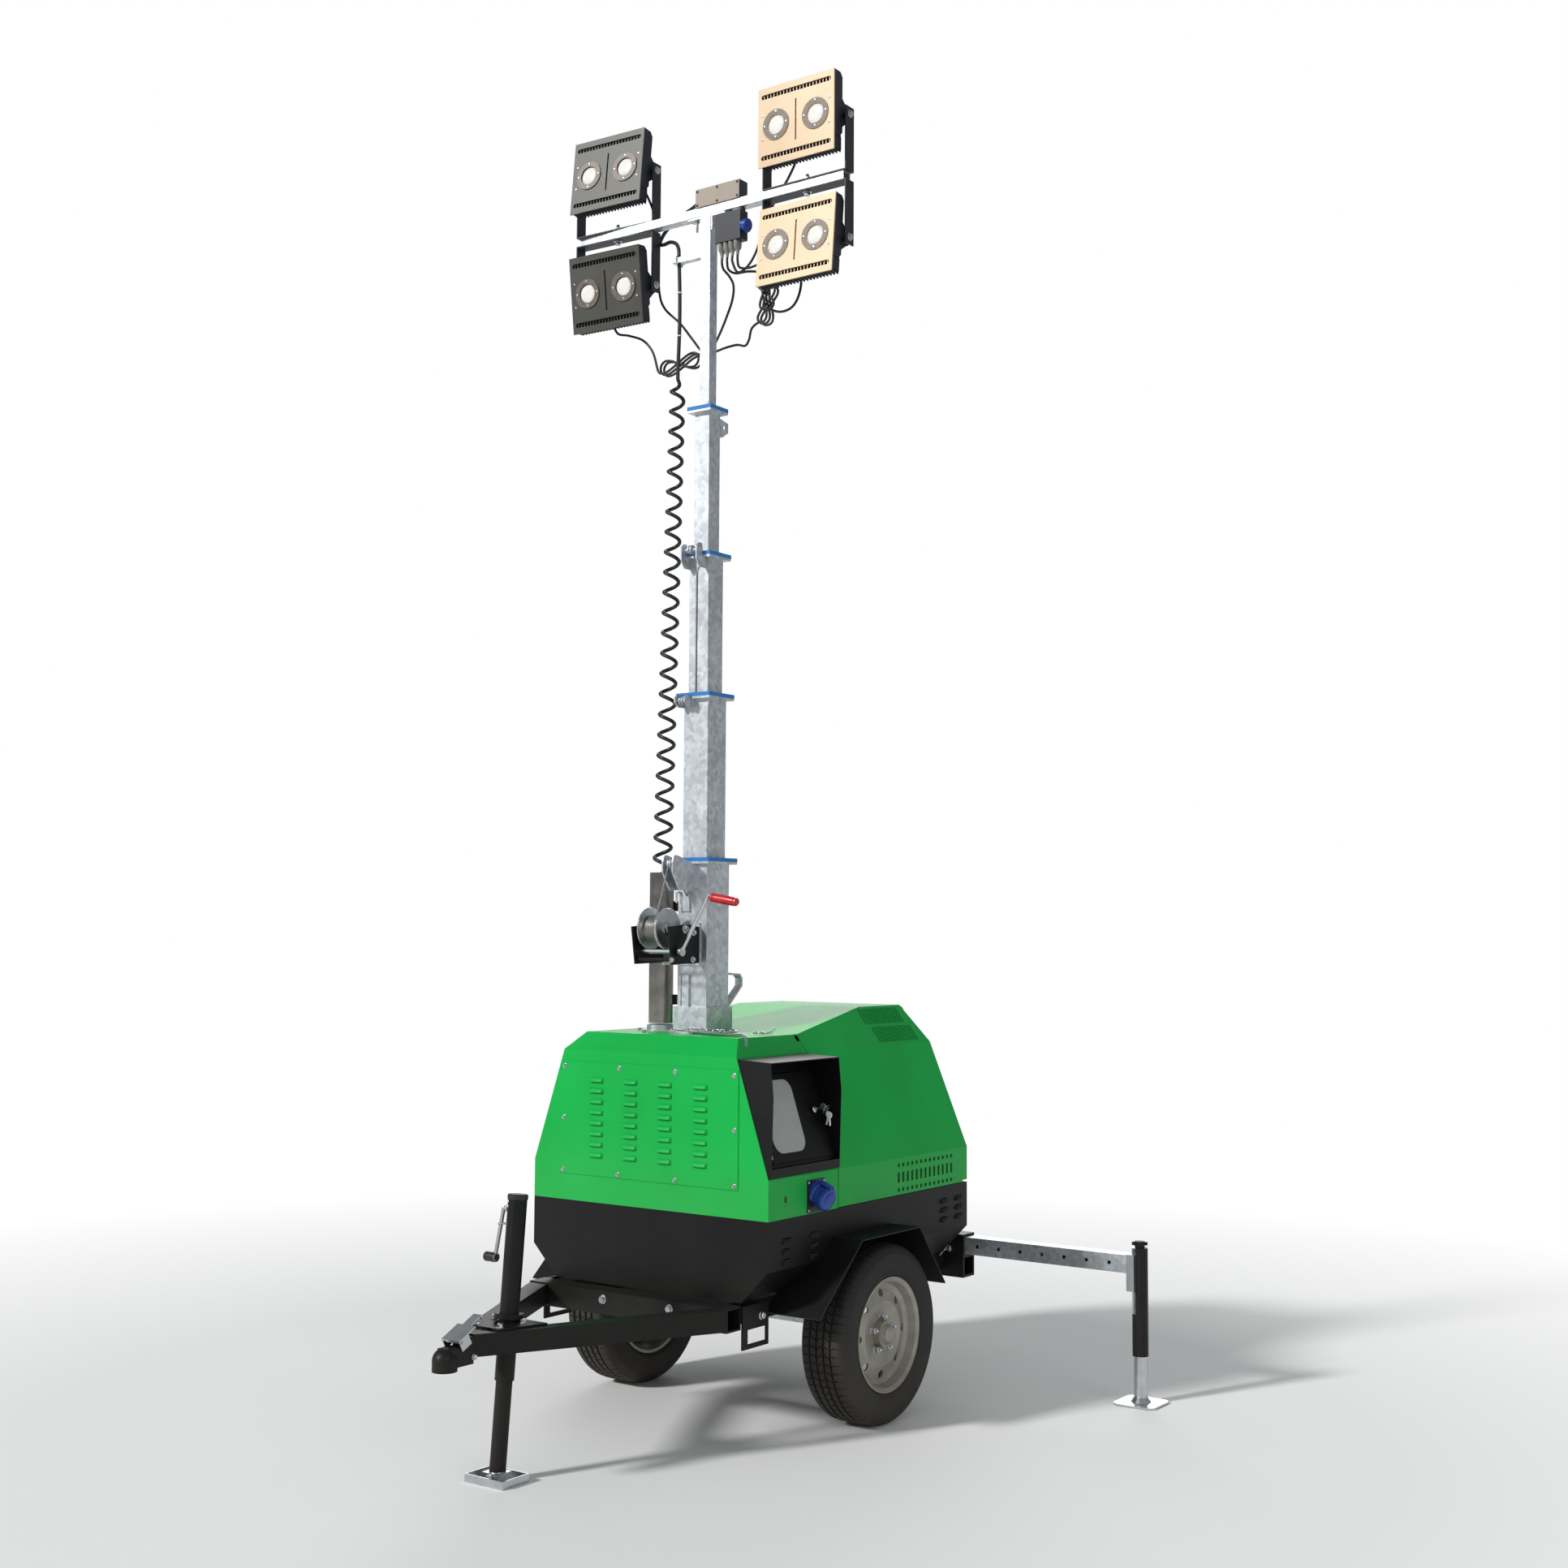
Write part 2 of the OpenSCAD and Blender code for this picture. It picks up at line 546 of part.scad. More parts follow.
// pulley bracket: cheeks of one outline at each x, a pin and a pulley between them
module bracket(xs, outline, y, z, r) {
  for (x = xs) along_x(x, x + 5) polygon(outline);
  translate([xs[0] - 3, y, z]) rotate([0, 90, 0]) cylinder(h = xs[1] - xs[0] + 11, r = 5);
  pulley((xs[0] + xs[1]) / 2 - 4.5, y, z, r);
}
module mast_1() {
  mast_stage(0);
  h = side(0) / 2;
  translate([0, my, 0]) {
    difference() {
      translate([0, 0, tub_z + sheet]) cylinder(h = mast_floor - tub_z - sheet, r = 92);
      translate([0, 0, tub_z]) cylinder(h = 30, r = 20);
    }
    bracket([-29, 12], [[-h, top_1 - 25], [-h - 104, top_1 + 5], [-h - 121, top_1 + 4], [-h - 128, top_1 - 18], [-h - 127, top_1 - 52],
      [-h - 90, top_1 - 110], [-h, top_1 - 108]], -h - 100, top_1 - 24, 22);
  }
}
module mast_2() {
  mast_stage(1);
  h = side(1) / 2;
  f = h + collar_over;
  translate([0, my, 0]) {
    bracket([-52, -12], [[-h, top_2 - 49], [-f - 14, top_2 - 49], [-f - 34, top_2 - 34], [-f - 34, top_2 - 18], [-f - 20, top_2 - 8], [-f - 1, top_2 - 8],
      [-f - 1, top_2 - collar_t - 1], [-h, top_2 - collar_t - 1]], -f - 16, top_2 - 28, 14);
    both() along_x(8, 13) polygon([[h, top_2 - 60], [h, top_2 - collar_t - 1], [f + 16, top_2 - collar_t - 1], [f + 16, top_2 - 30]]);
  }
}
module mast_3() {
  mast_stage(2);
  h = side(2) / 2;
  f = h + collar_over;
  translate([0, my, 0]) {
    bracket([-38, 26], [[-h, top_3 - 56], [-f - 16, top_3 - 56], [-f - 34, top_3 - 30], [-f - 34, top_3 + 12], [-f - 20, top_3 + 26], [-f - 6, top_3 + 26],
      [-f - 1, top_3 + 8], [-f - 1, top_3 - collar_t - 1], [-h, top_3 - collar_t - 1]], -f - 18, top_3 + 4, 15);
    along_x(4, 10) difference() {
      polygon([[h, top_3 - 62], [h, top_3 - collar_t - 1], [f + 12, top_3 - collar_t - 1], [f + 20, top_3 - 40], [f + 12, top_3 - 60]]);
      translate([f + 4, top_3 - 44]) circle(r = 7);
    }
  }
}
module mast_4() {
  mast_stage(3);
  h = side(3) / 2;
  f = h + collar_over;
  translate([0, my, 0]) {
    along_x(-3, 3) difference() {
      polygon([[h, top_4 - 88], [h, top_4 - collar_t - 1], [f + 20, top_4 - collar_t - 1], [f + 62, top_4 - 30], [f + 62, top_4 - 62], [f + 30, top_4 - 84]]);
      translate([f + 42, top_4 - 48]) circle(r = 8);
    }
    translate([-14, f + 14, top_4 - 52]) rotate([0, 90, 0]) cylinder(h = 28, r = 5);
  }
}
module mast_5() {
  mast_stage(4);
  h = side(4) / 2;
  translate([0, my, 0]) {
    difference() {
      block([cord_x - 12, -12, arm_z - 10], [-h + 1, 12, arm_z + 10]);
      translate([cord_x, 0, arm_z - 20]) cylinder(h = 40, r = cord_r + slip);
    }
    both() {
      block([h, -18, bar_z - 70], [h + 6, 18, bar_z - bar_hz]);
      block([h, -18, bar_z - bar_hz - 7], [80, 18, bar_z - bar_hz]);
    }
  }
}
module collar(k) { plate_on(k, tops[k] - blue_t, tops[k], collar_over, slip); }

// cord tube, turning handle and foot sleeve on section one
tube_x = -165;
tube_y = -18;
tube_r = 41;
tube_top = 1781;
tube_low = hood_z - 47;
cord_r = 6.5;
strap = [[0, 1449], [130, 1440], [142, 1425], [142, 1398], [61, 1325], [0, 1325]];
strap_in = [[-1, 1443], [127, 1434], [136, 1424], [136, 1401], [58, 1331], [-1, 1331]];
module mast_fittings() {
  h = side(0) / 2;
  translate([0, my, 0]) {
    difference() {
      translate([tube_x, tube_y, tube_low]) cylinder(h = tube_top - tube_low, r = tube_r);
      translate([tube_x, tube_y, tube_low + 4]) cylinder(h = tube_top - tube_low, r = tube_r - 3);
    }
    for (z = [tube_low + 60, tube_top - 130]) block([tube_x, tube_y + tube_r - 1, z], [-h, tube_y + tube_r + 5, z + 34]);
    for (z = [tube_low + 60, tube_top - 130]) block([-h - 5, tube_y + tube_r - 24, z], [-h, tube_y + tube_r + 1, z + 34]);
    // handle strap behind the mast
    translate([0, h, 0]) along_x(-14, 14) difference() { polygon(strap); polygon(strap_in); }
    // sleeve where the mast leaves the deck
    difference() {
      block([-h - 10, -h - 10, deck_z + 8], [h + 10, h + 10, deck_z + 85]);
      block([-h, -h, deck_z], [h, h, deck_z + 90]);
    }
    // slide guide in front
    for (z = [[deck_z + 85, 1440], [1650, top_1 - 116]]) difference() {
      block([-46, -h - 9, z[0]], [-7, -h, z[1]]);
      block([-40, -h - 10, z[0] - 1], [-13, -h - 5, z[1] + 1]);
    }
    translate([-52, -h - 20, top_1 - 150]) cylinder(h = 36, r = 4);
    block([-56, -h - 24, top_1 - 118], [-44, -h, top_1 - 112]);
  }
}

// hand winch in front of section one
win_y = my - side(0) / 2;
drum_y = win_y - 83;
drum_z = 1592;
shaft_y = drum_y - 37;
crank_z = drum_z - 74;
win_x = [-122, 30];
module winch_frame() {
  difference() {
    union() {
      block([win_x[0], win_y - 6, drum_z - 120], [win_x[1] + 5, win_y, drum_z + 22]);
      for (x = win_x) along_x(x, x + 5) polygon([[win_y - 6, drum_z - 112], [win_y - 6, drum_z + 6], [win_y - 56, drum_z + 14], [win_y - 88, drum_z + 14],
        [win_y - 170, drum_z + 7], [win_y - 151, drum_z - 116]]);
      translate([win_x[0], win_y - 138, drum_z - 100]) rotate([0, 90, 0]) cylinder(h = win_x[1] - win_x[0], r = 6);
    }
    translate([-200, drum_y, drum_z]) rotate([0, 90, 0]) cylinder(h = 260, r = 7.8);
    translate([-200, shaft_y, crank_z]) rotate([0, 90, 0]) cylinder(h = 260, r = 7.8);
  }
}
module winch_drum() {
  translate([0, drum_y, drum_z]) rotate([0, 90, 0]) {
    translate([0, 0, win_x[0] - 8]) cylinder(h = win_x[1] - win_x[0] + 22, r = 7.5);
    translate([0, 0, win_x[0] + 10]) cylinder(h = 5, r = 68);
    translate([0, 0, -42]) cylinder(h = 7, r = 65);
    translate([0, 0, win_x[0] + 12]) cylinder(h = -42 - win_x[0] - 10, r = 24);
    translate([0, 0, win_x[0] + 14]) cylinder(h = -42 - win_x[0] - 13, r = 40);
  }
}
arm_top = [75, win_y - 8, 1698];
module winch_crank() {
  translate([win_x[0] - 8, shaft_y, crank_z]) rotate([0, 90, 0]) cylinder(h = 58 - win_x[0], r = 7.5);
  translate([44, shaft_y, crank_z]) rotate([0, 90, 0]) cylinder(h = 12, r = 15);
  rod([50, shaft_y, crank_z], [arm_top[0], arm_top[1], arm_top[2] + 8], 7);
  rod([arm_top[0] - 4, arm_top[1], arm_top[2]], [arm_top[0] + 112, arm_top[1] + 6, arm_top[2] - 18], 6);
  rod([arm_top[0] + 12, arm_top[1] + 0.6, arm_top[2] - 2], [arm_top[0] + 108, arm_top[1] + 5.8, arm_top[2] - 17.4], 14);
}

// head
lamp_x = bar_l / 2 - lamp_in;
cord_x = -132;
arm_z = bar_z - 146;
module lamp_bar() {
  translate([0, my, bar_z]) difference() {
    block([-bar_l / 2, -bar_hy, -bar_hz], [bar_l / 2, bar_hy, bar_hz]);
    block([-bar_l / 2 - 1, -bar_hy + 3, -bar_hz + 3], [bar_l / 2 + 1, bar_hy - 3, bar_hz - 3]);
  }
}
gland_x = 67;
gland_y = -14;
plug_z = -131;
module junction_box() {
  translate([0, my, bar_z]) {
    block([-42, -22, bar_hz], [145, 23, 79]);
    block([53, -35, plug_z], [158, 8, -31]);
    for (x = [84, 138]) block([x, -16, -31], [x + 12, 6, -bar_hz]);
    for (i = [0:3]) translate([gland_x + i * 22, gland_y, plug_z - 24]) cylinder(h = 25, r = 9);
  }
}
// lamp, side of X, up or down of the bar, rest tilt about X (positive looks up), turn of its yoke
LAMPS = [["upper_left", -1, 1, 6, 3.5], ["upper_right", 1, 1, 0, 0], ["lower_left", -1, -1, -7, 3.5], ["lower_right", 1, -1, 5, 0]];
module lamp_at(i) {
  translate([LAMPS[i][1] * lamp_x, my, bar_z + LAMPS[i][2] * lamp_rise]) rotate([-LAMPS[i][3], 0, LAMPS[i][4]]) children();
}
arm_gap = 12;
yoke_t = 4;
yoke_h = 24;
module lamp_yokes() {
  a = lamp_w / 2 + arm_gap;
  for (i = [0:3]) translate([LAMPS[i][1] * lamp_x, my, bar_z]) rotate([0, 0, LAMPS[i][4]]) mirror([0, 0, LAMPS[i][2] > 0 ? 0 : 1]) {
    block([-a - yoke_t, -yoke_h, bar_hz], [a + yoke_t, yoke_h, bar_hz + yoke_t]);
    both() difference() {
      block([a, -yoke_h, bar_hz + yoke_t], [a + yoke_t, yoke_h, lamp_rise + yoke_h]);
      translate([a - 1, 0, lamp_rise]) rotate([0, 90, 0]) cylinder(h = 10, r = 8.3);
    }
  }
}
lens_x = 79;
lamp_f = -70;
lamp_b = lamp_f + lamp_t;
gland_end = lamp_b + 14;
module stadium(x, r, y0, y1) {
  block([-x, y0, -r], [x, y1, r]);
  for (s = [-x, x]) translate([s, y0, 0]) rotate([-90, 0, 0]) cylinder(h = y1 - y0, r = r);
}
module lamp(i) {
  w = lamp_w / 2;
  h = lamp_h / 2;
  fins = 22;
  lamp_at(i) {
    difference() {
      union() {
        block([-w, lamp_f, -h], [w, lamp_f + 5, h]);
        block([-w + 8, lamp_f + 5, -h + 44], [w - 8, lamp_f + 24, h - 44]);
        for (s = [-1, 1]) translate([s * lens_x, lamp_f - 3, 0]) rotate([-90, 0, 0]) cylinder(h = 4, r = 52);
      }
      for (s = [-1, 1]) translate([0, 0, s * (h - 30)]) stadium(132, 8, lamp_f - 1, lamp_f + 6);
      block([-3, lamp_f - 1, -70], [3, lamp_f + 12, 70]);
      for (s = [-1, 1]) translate([s * lens_x, lamp_f - 4, 0]) rotate([-90, 0, 0]) cylinder(h = 9, r = 33);
    }
    for (k = [0:fins]) translate([-w + 6 + k * (2 * w - 15) / fins, 0, 0]) block([0, lamp_f + 5, -h + 4], [3, lamp_b, h - 4]);
    both() {
      along_x(w - 3, w) polygon([[lamp_f + 5, h], [lamp_b - 12, h], [lamp_b, h - 14], [lamp_b, -66], [lamp_b - 16, -82], [lamp_f + 5, -82]]);
      block([w - 5, lamp_f + 5, -h + 9], [w - 2, lamp_b - 4, -82]);
      along_x(w - 3, w) polygon(concat([[lamp_b - 1, -48], [lamp_b - 1, 48]], [for (a = [75:-15:-75]) [26 * cos(a), 26 * sin(a)]]));
      translate([w - 1, 0, 0]) rotate([0, 90, 0]) cylinder(h = arm_gap + yoke_t + 9, r = 8);
    }
    for (z = [-60, 60]) block([-w + 10, lamp_b - 7, z - 9], [w - 10, lamp_b - 2, z + 9]);
    translate([-LAMPS[i][1] * 60, lamp_f + 20, 0]) rotate([-90, 0, 0]) cylinder(h = gland_end - lamp_f - 20, r = 10);
  }
}

// swept cords
function unit(v) = v / norm(v);
function spline(p, n) = concat([for (i = [0:len(p) - 2]) for (j = [0:n - 1])
  let (a = p[max(i - 1, 0)], b = p[i], c = p[i + 1], d = p[min(i + 2, len(p) - 1)], t = j / n)
  0.5 * (2 * b + (c - a) * t + (2 * a - 5 * b + 4 * c - d) * t * t + (3 * b - a - 3 * c + d) * t * t * t)], [p[len(p) - 1]]);
function tangents(q) = [for (i = [0:len(q) - 1]) unit(q[min(i + 1, len(q) - 1)] - q[max(i - 1, 0)])];
function normals(t, n0) = [for (i = 0, n = unit(n0 - (n0 * t[0]) * t[0]); i < len(t); i = i + 1,
  n = i < len(t) ? unit(n - (n * t[i]) * t[i]) : n) n];
module sweep(p, r, n0, m = 8) {
  t = tangents(p);
  u = normals(t, n0);
  k = len(p);
  polyhedron(points = [for (i = [0:k - 1]) let (w = cross(t[i], u[i])) for (j = [0:m - 1]) p[i] + r * (cos(360 * j / m) * u[i] + sin(360 * j / m) * w)],
    faces = concat([[for (j = [0:m - 1]) m - 1 - j]], [[for (j = [0:m - 1]) (k - 1) * m + j]],
      [for (i = [0:k - 2]) for (j = [0:m - 1]) [i * m + j, i * m + (j + 1) % m, (i + 1) * m + (j + 1) % m, (i + 1) * m + j]]), convexity = 6);
}
coil_low = tube_top - 60;
coil_top = top_4 + 87;
coil_r = 31;
module curly_cord() {
  translate([0, my, 0]) {
    rod([tube_x, tube_y, coil_low], [cord_x, 0, coil_top], coil_r);
    rod([cord_x, 0, coil_top - 2], [cord_x, 0, arm_z + 30], cord_r);
  }
}
lead_r = 5.5;
// place y behind lamp i's gland end
function behind(i, y) = let (s = LAMPS[i][1], a = LAMPS[i][3], c = LAMPS[i][4], x = -s * 60, v = (gland_end + y) * cos(a))
  [s * lamp_x + x * cos(c) - v * sin(c), x * sin(c) + v * cos(c), bar_z + LAMPS[i][2] * lamp_rise - (gland_end + y) * sin(a)];
module lead(i) {
  s = LAMPS[i][1];
  u = LAMPS[i][2];
  p = behind(i, slip * 2);
  m = behind(i, 9);
  q = behind(i, 20);
  px = gland_x + 22 * [1, 2, 0, 3][i];
  drop = u > 0 ? -30 : s > 0 ? -240 : -330;
  end = bar_z + plug_z - 24 - slip * 2;
  route = u > 0 ?
    [p, m, q, [q[0] - s * 20, 60, q[2] - 50], [q[0] - s * 80, 64, bar_z + 50], [s * 160, 56, bar_z - 40],
     [s < 0 ? -30 : 104, 60, bar_z - 120], [s < 0 ? 60 : px, 44, end - 40], [px, 10, end - 66], [px, gland_y + 1, end - 40], [px, gland_y, end]] :
    [p, m, q, [q[0] - s * 16, 56, q[2] - 60], [q[0] - s * 80, 50, bar_z + drop - 30], [s * 170, 50, bar_z + drop - 60],
     [s < 0 ? -60 : 134, s < 0 ? 62 : 34, bar_z + drop - 10], [s < 0 ? 46 : px, s < 0 ? 62 : 24, end - (s < 0 ? 110 : 92)],
     [px, s < 0 ? 14 : -2, end - (s < 0 ? 96 : 78)], [px, gland_y + 1, end - 46], [px, gland_y, end]];
  translate([0, my, 0]) sweep(spline(route, 6), lead_r, [1, 0, 0]);
}

// outriggers
beam_len = 900;
module beam(s) {
  z = s > 0 ? beam_zr : beam_zl;
  mirror([s > 0 ? 0 : 1, 0, 0]) translate([0, beam_back, z]) difference() {
    block([leg_x - 32 - beam_len, -beam_s / 2, -beam_s / 2], [leg_x - 32, beam_s / 2, beam_s / 2]);
    block([leg_x - 33 - beam_len, -beam_s / 2 + 4, -beam_s / 2 + 4], [leg_x - 36, beam_s / 2 - 4, beam_s / 2 - 4]);
    for (i = [0:6]) translate([leg_x - 100 - i * 86, -beam_s / 2 - 1, 0]) rotate([-90, 0, 0]) cylinder(h = beam_s + 2, r = 6.5);
  }
}
leg_top = 520;
leg_tr = 27;
leg_in = leg_top - 120;
module leg_tube(s) {
  z = s > 0 ? beam_zr : beam_zl;
  mirror([s > 0 ? 0 : 1, 0, 0]) translate([leg_x, beam_back, 0]) {
    difference() {
      translate([0, 0, 160]) cylinder(h = leg_top - 160, r = leg_tr);
      translate([0, 0, 159]) cylinder(h = leg_top - 163, r = leg_tr - 4);
    }
    difference() {
      block([-32, -40, z - 88], [-4, 40, z + 34]);
      translate([0, 0, 0]) cylinder(h = 900, r = leg_tr - 1);
      block([-33, -34, z - 90], [-26, 34, z - 30]);
    }
    translate([0, 0, leg_top]) cylinder(h = 22, r = 17);
    translate([0, 0, leg_top + 14]) rotate([0, 0, 30]) translate([-26, 0, 0]) rotate([0, 90, 0]) cylinder(h = 52, r = 6);
  }
}
module leg(s) {
  mirror([s > 0 ? 0 : 1, 0, 0]) translate([leg_x, beam_back, 0]) {
    difference() {
      translate([0, 0, 8]) cylinder(h = leg_in, r = leg_tr - 4 - slip);
      translate([0, 0, 30]) cylinder(h = leg_in, r = leg_tr - 9);
    }
    difference() {
      union() {
        block([-foot_r, -foot_r + 28, 0], [foot_r, foot_r - 28, 8]);
        block([-foot_r + 28, -foot_r, 0], [foot_r - 28, foot_r, 8]);
        for (x = [-1, 1], y = [-1, 1]) translate([x * (foot_r - 28), y * (foot_r - 28), 0]) cylinder(h = 8, r = 28);
      }
    }
    translate([0, 0, 8]) cylinder(h = 16, r1 = 34, r2 = leg_tr - 4 - slip);
  }
}

module tub_all() { tub(); hinge_stand(); }
green = [0.07, 0.66, 0.27];
black = [0.05, 0.05, 0.055];
zinc = [0.62, 0.64, 0.66];
grey = [0.28, 0.29, 0.3];
color(black) at() chassis_frame();
color(black) at() receiver();
color(black) at() tie_loops();
color(black) at() drawbar();
color(black) at() coupler();
color(zinc) at() coupler_latch();
color(black) at() jack_tube();
color(zinc) at() jack_crank();
color(zinc) at() jack_leg();
color(zinc) at() axle();
color(zinc) at() mirror([1, 0, 0]) rim();  // rim_left
color(zinc) at() rim();  // rim_right
color(black) at() mirror([1, 0, 0]) tyre();  // tyre_left
color(black) at() tyre();  // tyre_right
color(black) at() mudguards();
color(black) at() tub_all();  // tub
color(green) at() front_canopy();
color(green) at() louvre_panel();
color(black) at() control_visor();
color(grey) at() control_panel();
color(black) at() control_door();
color(zinc) at() door_window();
color(green) at() rear_hood();
color(grey) at() engine_block();
color(zinc) at() mast_1();
color(zinc) at() mast_2();
color(zinc) at() mast_3();
color(zinc) at() mast_4();
color(zinc) at() mast_5();
color([0.09, 0.4, 0.72]) at() collar(0);  // collar_1
color([0.09, 0.4, 0.72]) at() collar(1);  // collar_2
color([0.09, 0.4, 0.72]) at() collar(2);  // collar_3
color([0.09, 0.4, 0.72]) at() collar(3);  // collar_4
color(zinc) at() mast_fittings();
color(black) at() winch_frame();
color(zinc) at() winch_drum();
color(zinc) at() winch_crank();
color(zinc) at() lamp_bar();
color(grey) at() junction_box();
color(grey) at() lamp_yokes();
color(grey) at() lamp(0);  // lamp_upper_left
color(grey) at() lamp(1);  // lamp_upper_right
color(grey) at() lamp(2);  // lamp_lower_left
color(grey) at() lamp(3);  // lamp_lower_right
color(black) at() curly_cord();
color(black) at() lead(0);  // lead_upper_left
color(black) at() lead(1);  // lead_upper_right
color(black) at() lead(2);  // lead_lower_left
color(black) at() lead(3);  // lead_lower_right
color(zinc) at() beam(-1);  // beam_left
color(zinc) at() beam(1);  // beam_right
color(black) at() leg_tube(-1);  // leg_tube_left
color(black) at() leg_tube(1);  // leg_tube_right
color(zinc) at() leg(-1);  // leg_left
color(zinc) at() leg(1);  // leg_right
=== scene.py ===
import math
import bmesh
import bpy
import numpy as np
from mathutils import Matrix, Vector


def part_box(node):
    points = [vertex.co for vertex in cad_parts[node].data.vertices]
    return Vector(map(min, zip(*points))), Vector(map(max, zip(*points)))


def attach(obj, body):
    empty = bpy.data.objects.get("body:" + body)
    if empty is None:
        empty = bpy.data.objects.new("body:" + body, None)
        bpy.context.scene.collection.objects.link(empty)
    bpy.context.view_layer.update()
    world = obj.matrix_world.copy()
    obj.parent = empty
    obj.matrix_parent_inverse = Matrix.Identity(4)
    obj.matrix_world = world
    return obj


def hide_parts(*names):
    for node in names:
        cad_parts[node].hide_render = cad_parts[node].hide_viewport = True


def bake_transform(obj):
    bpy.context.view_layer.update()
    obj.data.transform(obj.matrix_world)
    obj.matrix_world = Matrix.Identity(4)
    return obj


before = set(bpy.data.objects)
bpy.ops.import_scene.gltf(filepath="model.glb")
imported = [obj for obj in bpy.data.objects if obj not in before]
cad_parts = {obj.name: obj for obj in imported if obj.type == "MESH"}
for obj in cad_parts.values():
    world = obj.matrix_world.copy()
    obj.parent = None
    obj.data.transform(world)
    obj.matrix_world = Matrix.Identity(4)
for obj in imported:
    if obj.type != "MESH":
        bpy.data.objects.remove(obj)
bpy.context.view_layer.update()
rimLow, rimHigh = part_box("rim_right")
axleY = (rimLow.y + rimHigh.y) / 2  # the wheels stand this far behind the origin


def spot(points):
    # millimetres from the middle of the axle line on the ground, turned to metres in the row frame
    return np.asarray(points, float) / 1000 + np.array([0, axleY, 0])


# ---- camera, at the photograph's angle
camera = {"eye": (3.987, -5.390 + 0.322, 1.607), "azimuth": 35.527, "lift": 4.16, "roll": 0.312, "lens": 44.457, "sensor": 36}


def makeCamera(look):
    turn, lift, roll = np.radians([look["azimuth"], look["lift"], look["roll"]])
    ahead = np.array([-math.sin(turn) * math.cos(lift), math.cos(turn) * math.cos(lift), math.sin(lift)])
    right = np.array([math.cos(turn), math.sin(turn), 0])
    up = np.cross(right, ahead)
    right, up = right * math.cos(roll) + up * math.sin(roll), up * math.cos(roll) - right * math.sin(roll)
    data = bpy.data.cameras.new("camera")
    data.lens, data.sensor_width, data.sensor_fit = look["lens"], look["sensor"], "HORIZONTAL"
    holder = bpy.data.objects.new("camera", data)
    bpy.context.scene.collection.objects.link(holder)
    pose = np.eye(4)
    pose[:3, 0], pose[:3, 1], pose[:3, 2], pose[:3, 3] = right, up, -ahead, look["eye"]
    holder.matrix_world = Matrix(pose.tolist())
    bpy.context.scene.camera = holder


makeCamera(camera)
print("camera set")


# ---- surfaces: every shape is rows of points, each row a closed ring, joined to the next row
def skin(rings, capped=True, looped=False):
    # quads between neighbouring rings, and one flat face on each end, or the last ring joined to the first
    rows, ring = rings.shape[:2]
    index = np.arange(rows * ring).reshape(rows, ring)
    if looped:
        index, capped = np.concatenate([index, index[:1]]), False
    after = np.roll(index, -1, axis=1)
    faces = np.stack([index[:-1], after[:-1], after[1:], index[1:]], axis=-1).reshape(-1, 4).tolist()
    if capped:
        faces += [index[0][::-1].tolist(), index[-1].tolist()]
    return rings.reshape(-1, 3), faces


def basis(axis):
    # three square directions, the last along the axis
    w = np.asarray(axis, float) / np.linalg.norm(axis)
    u = np.cross([0, 0, 1], w) if abs(w[2]) < 0.9 else np.cross([0, 1, 0], w)
    u = u / np.linalg.norm(u)
    return u, np.cross(w, u), w


def lathe(profile, origin, axis, sides=32, phase=0.0, capped=True):
    # profile of (radius, height) turned about the axis: origin + height w + radius (cos a u + sin a v)
    u, v, w = basis(axis)
    radius, height = np.asarray(profile, float).T
    angle = phase + np.arange(sides) * 2 * math.pi / sides
    around = np.cos(angle)[:, None] * u + np.sin(angle)[:, None] * v
    rings = np.asarray(origin, float) + height[:, None, None] * w + radius[:, None, None] * around
    return skin(rings, capped)


def ringOf(inner, outer, low, high, origin, axis, sides=40):
    # flat washer: a rectangle turned about the axis
    u, v, w = basis(axis)
    angle = np.arange(sides) * 2 * math.pi / sides
    around = np.cos(angle)[:, None] * u + np.sin(angle)[:, None] * v
    corners = [(inner, low), (outer, low), (outer, high), (inner, high)]
    rings = np.stack([np.asarray(origin, float) + h * w + q * around for q, h in corners])
    return skin(rings, looped=True)


def slab(outline, low, high, origin, u, v, w, ease=0.0):
    # flat outline of (a, b) carried from low to high along w, drawn in by ease at both ends
    outline = np.asarray(outline, float)
    before, after = outline - np.roll(outline, 1, axis=0), np.roll(outline, -1, axis=0) - outline
    normal = lambda d: np.stack([d[:, 1], -d[:, 0]], axis=1) / np.maximum(np.linalg.norm(d, axis=1, keepdims=True), 1e-9)
    out = normal(before) + normal(after)
    out = out / np.maximum((out * normal(after)).sum(1, keepdims=True), 0.3)
    inner = outline - ease * out
    levels = [(inner, low), (outline, low + ease), (outline, high - ease), (inner, high)] if ease else [(outline, low), (outline, high)]
    u, v, w = (np.asarray(d, float) for d in (u, v, w))
    rings = np.stack([np.asarray(origin, float) + flat[:, :1] * u + flat[:, 1:] * v + level * w for flat, level in levels])
    return skin(rings)


def rounded(width, height, radius, steps=5):
    # outline of a rectangle with rounded corners, counter-clockwise
    turn = np.linspace(0, math.pi / 2, steps)
    corners = [(width / 2 - radius, height / 2 - radius, 0), (-width / 2 + radius, height / 2 - radius, 1),
               (-width / 2 + radius, -height / 2 + radius, 2), (width / 2 - radius, -height / 2 + radius, 3)]
    parts = [np.stack([x + radius * np.cos(turn + k * math.pi / 2), y + radius * np.sin(turn + k * math.pi / 2)], axis=1) for x, y, k in corners]
    return np.concatenate(parts)


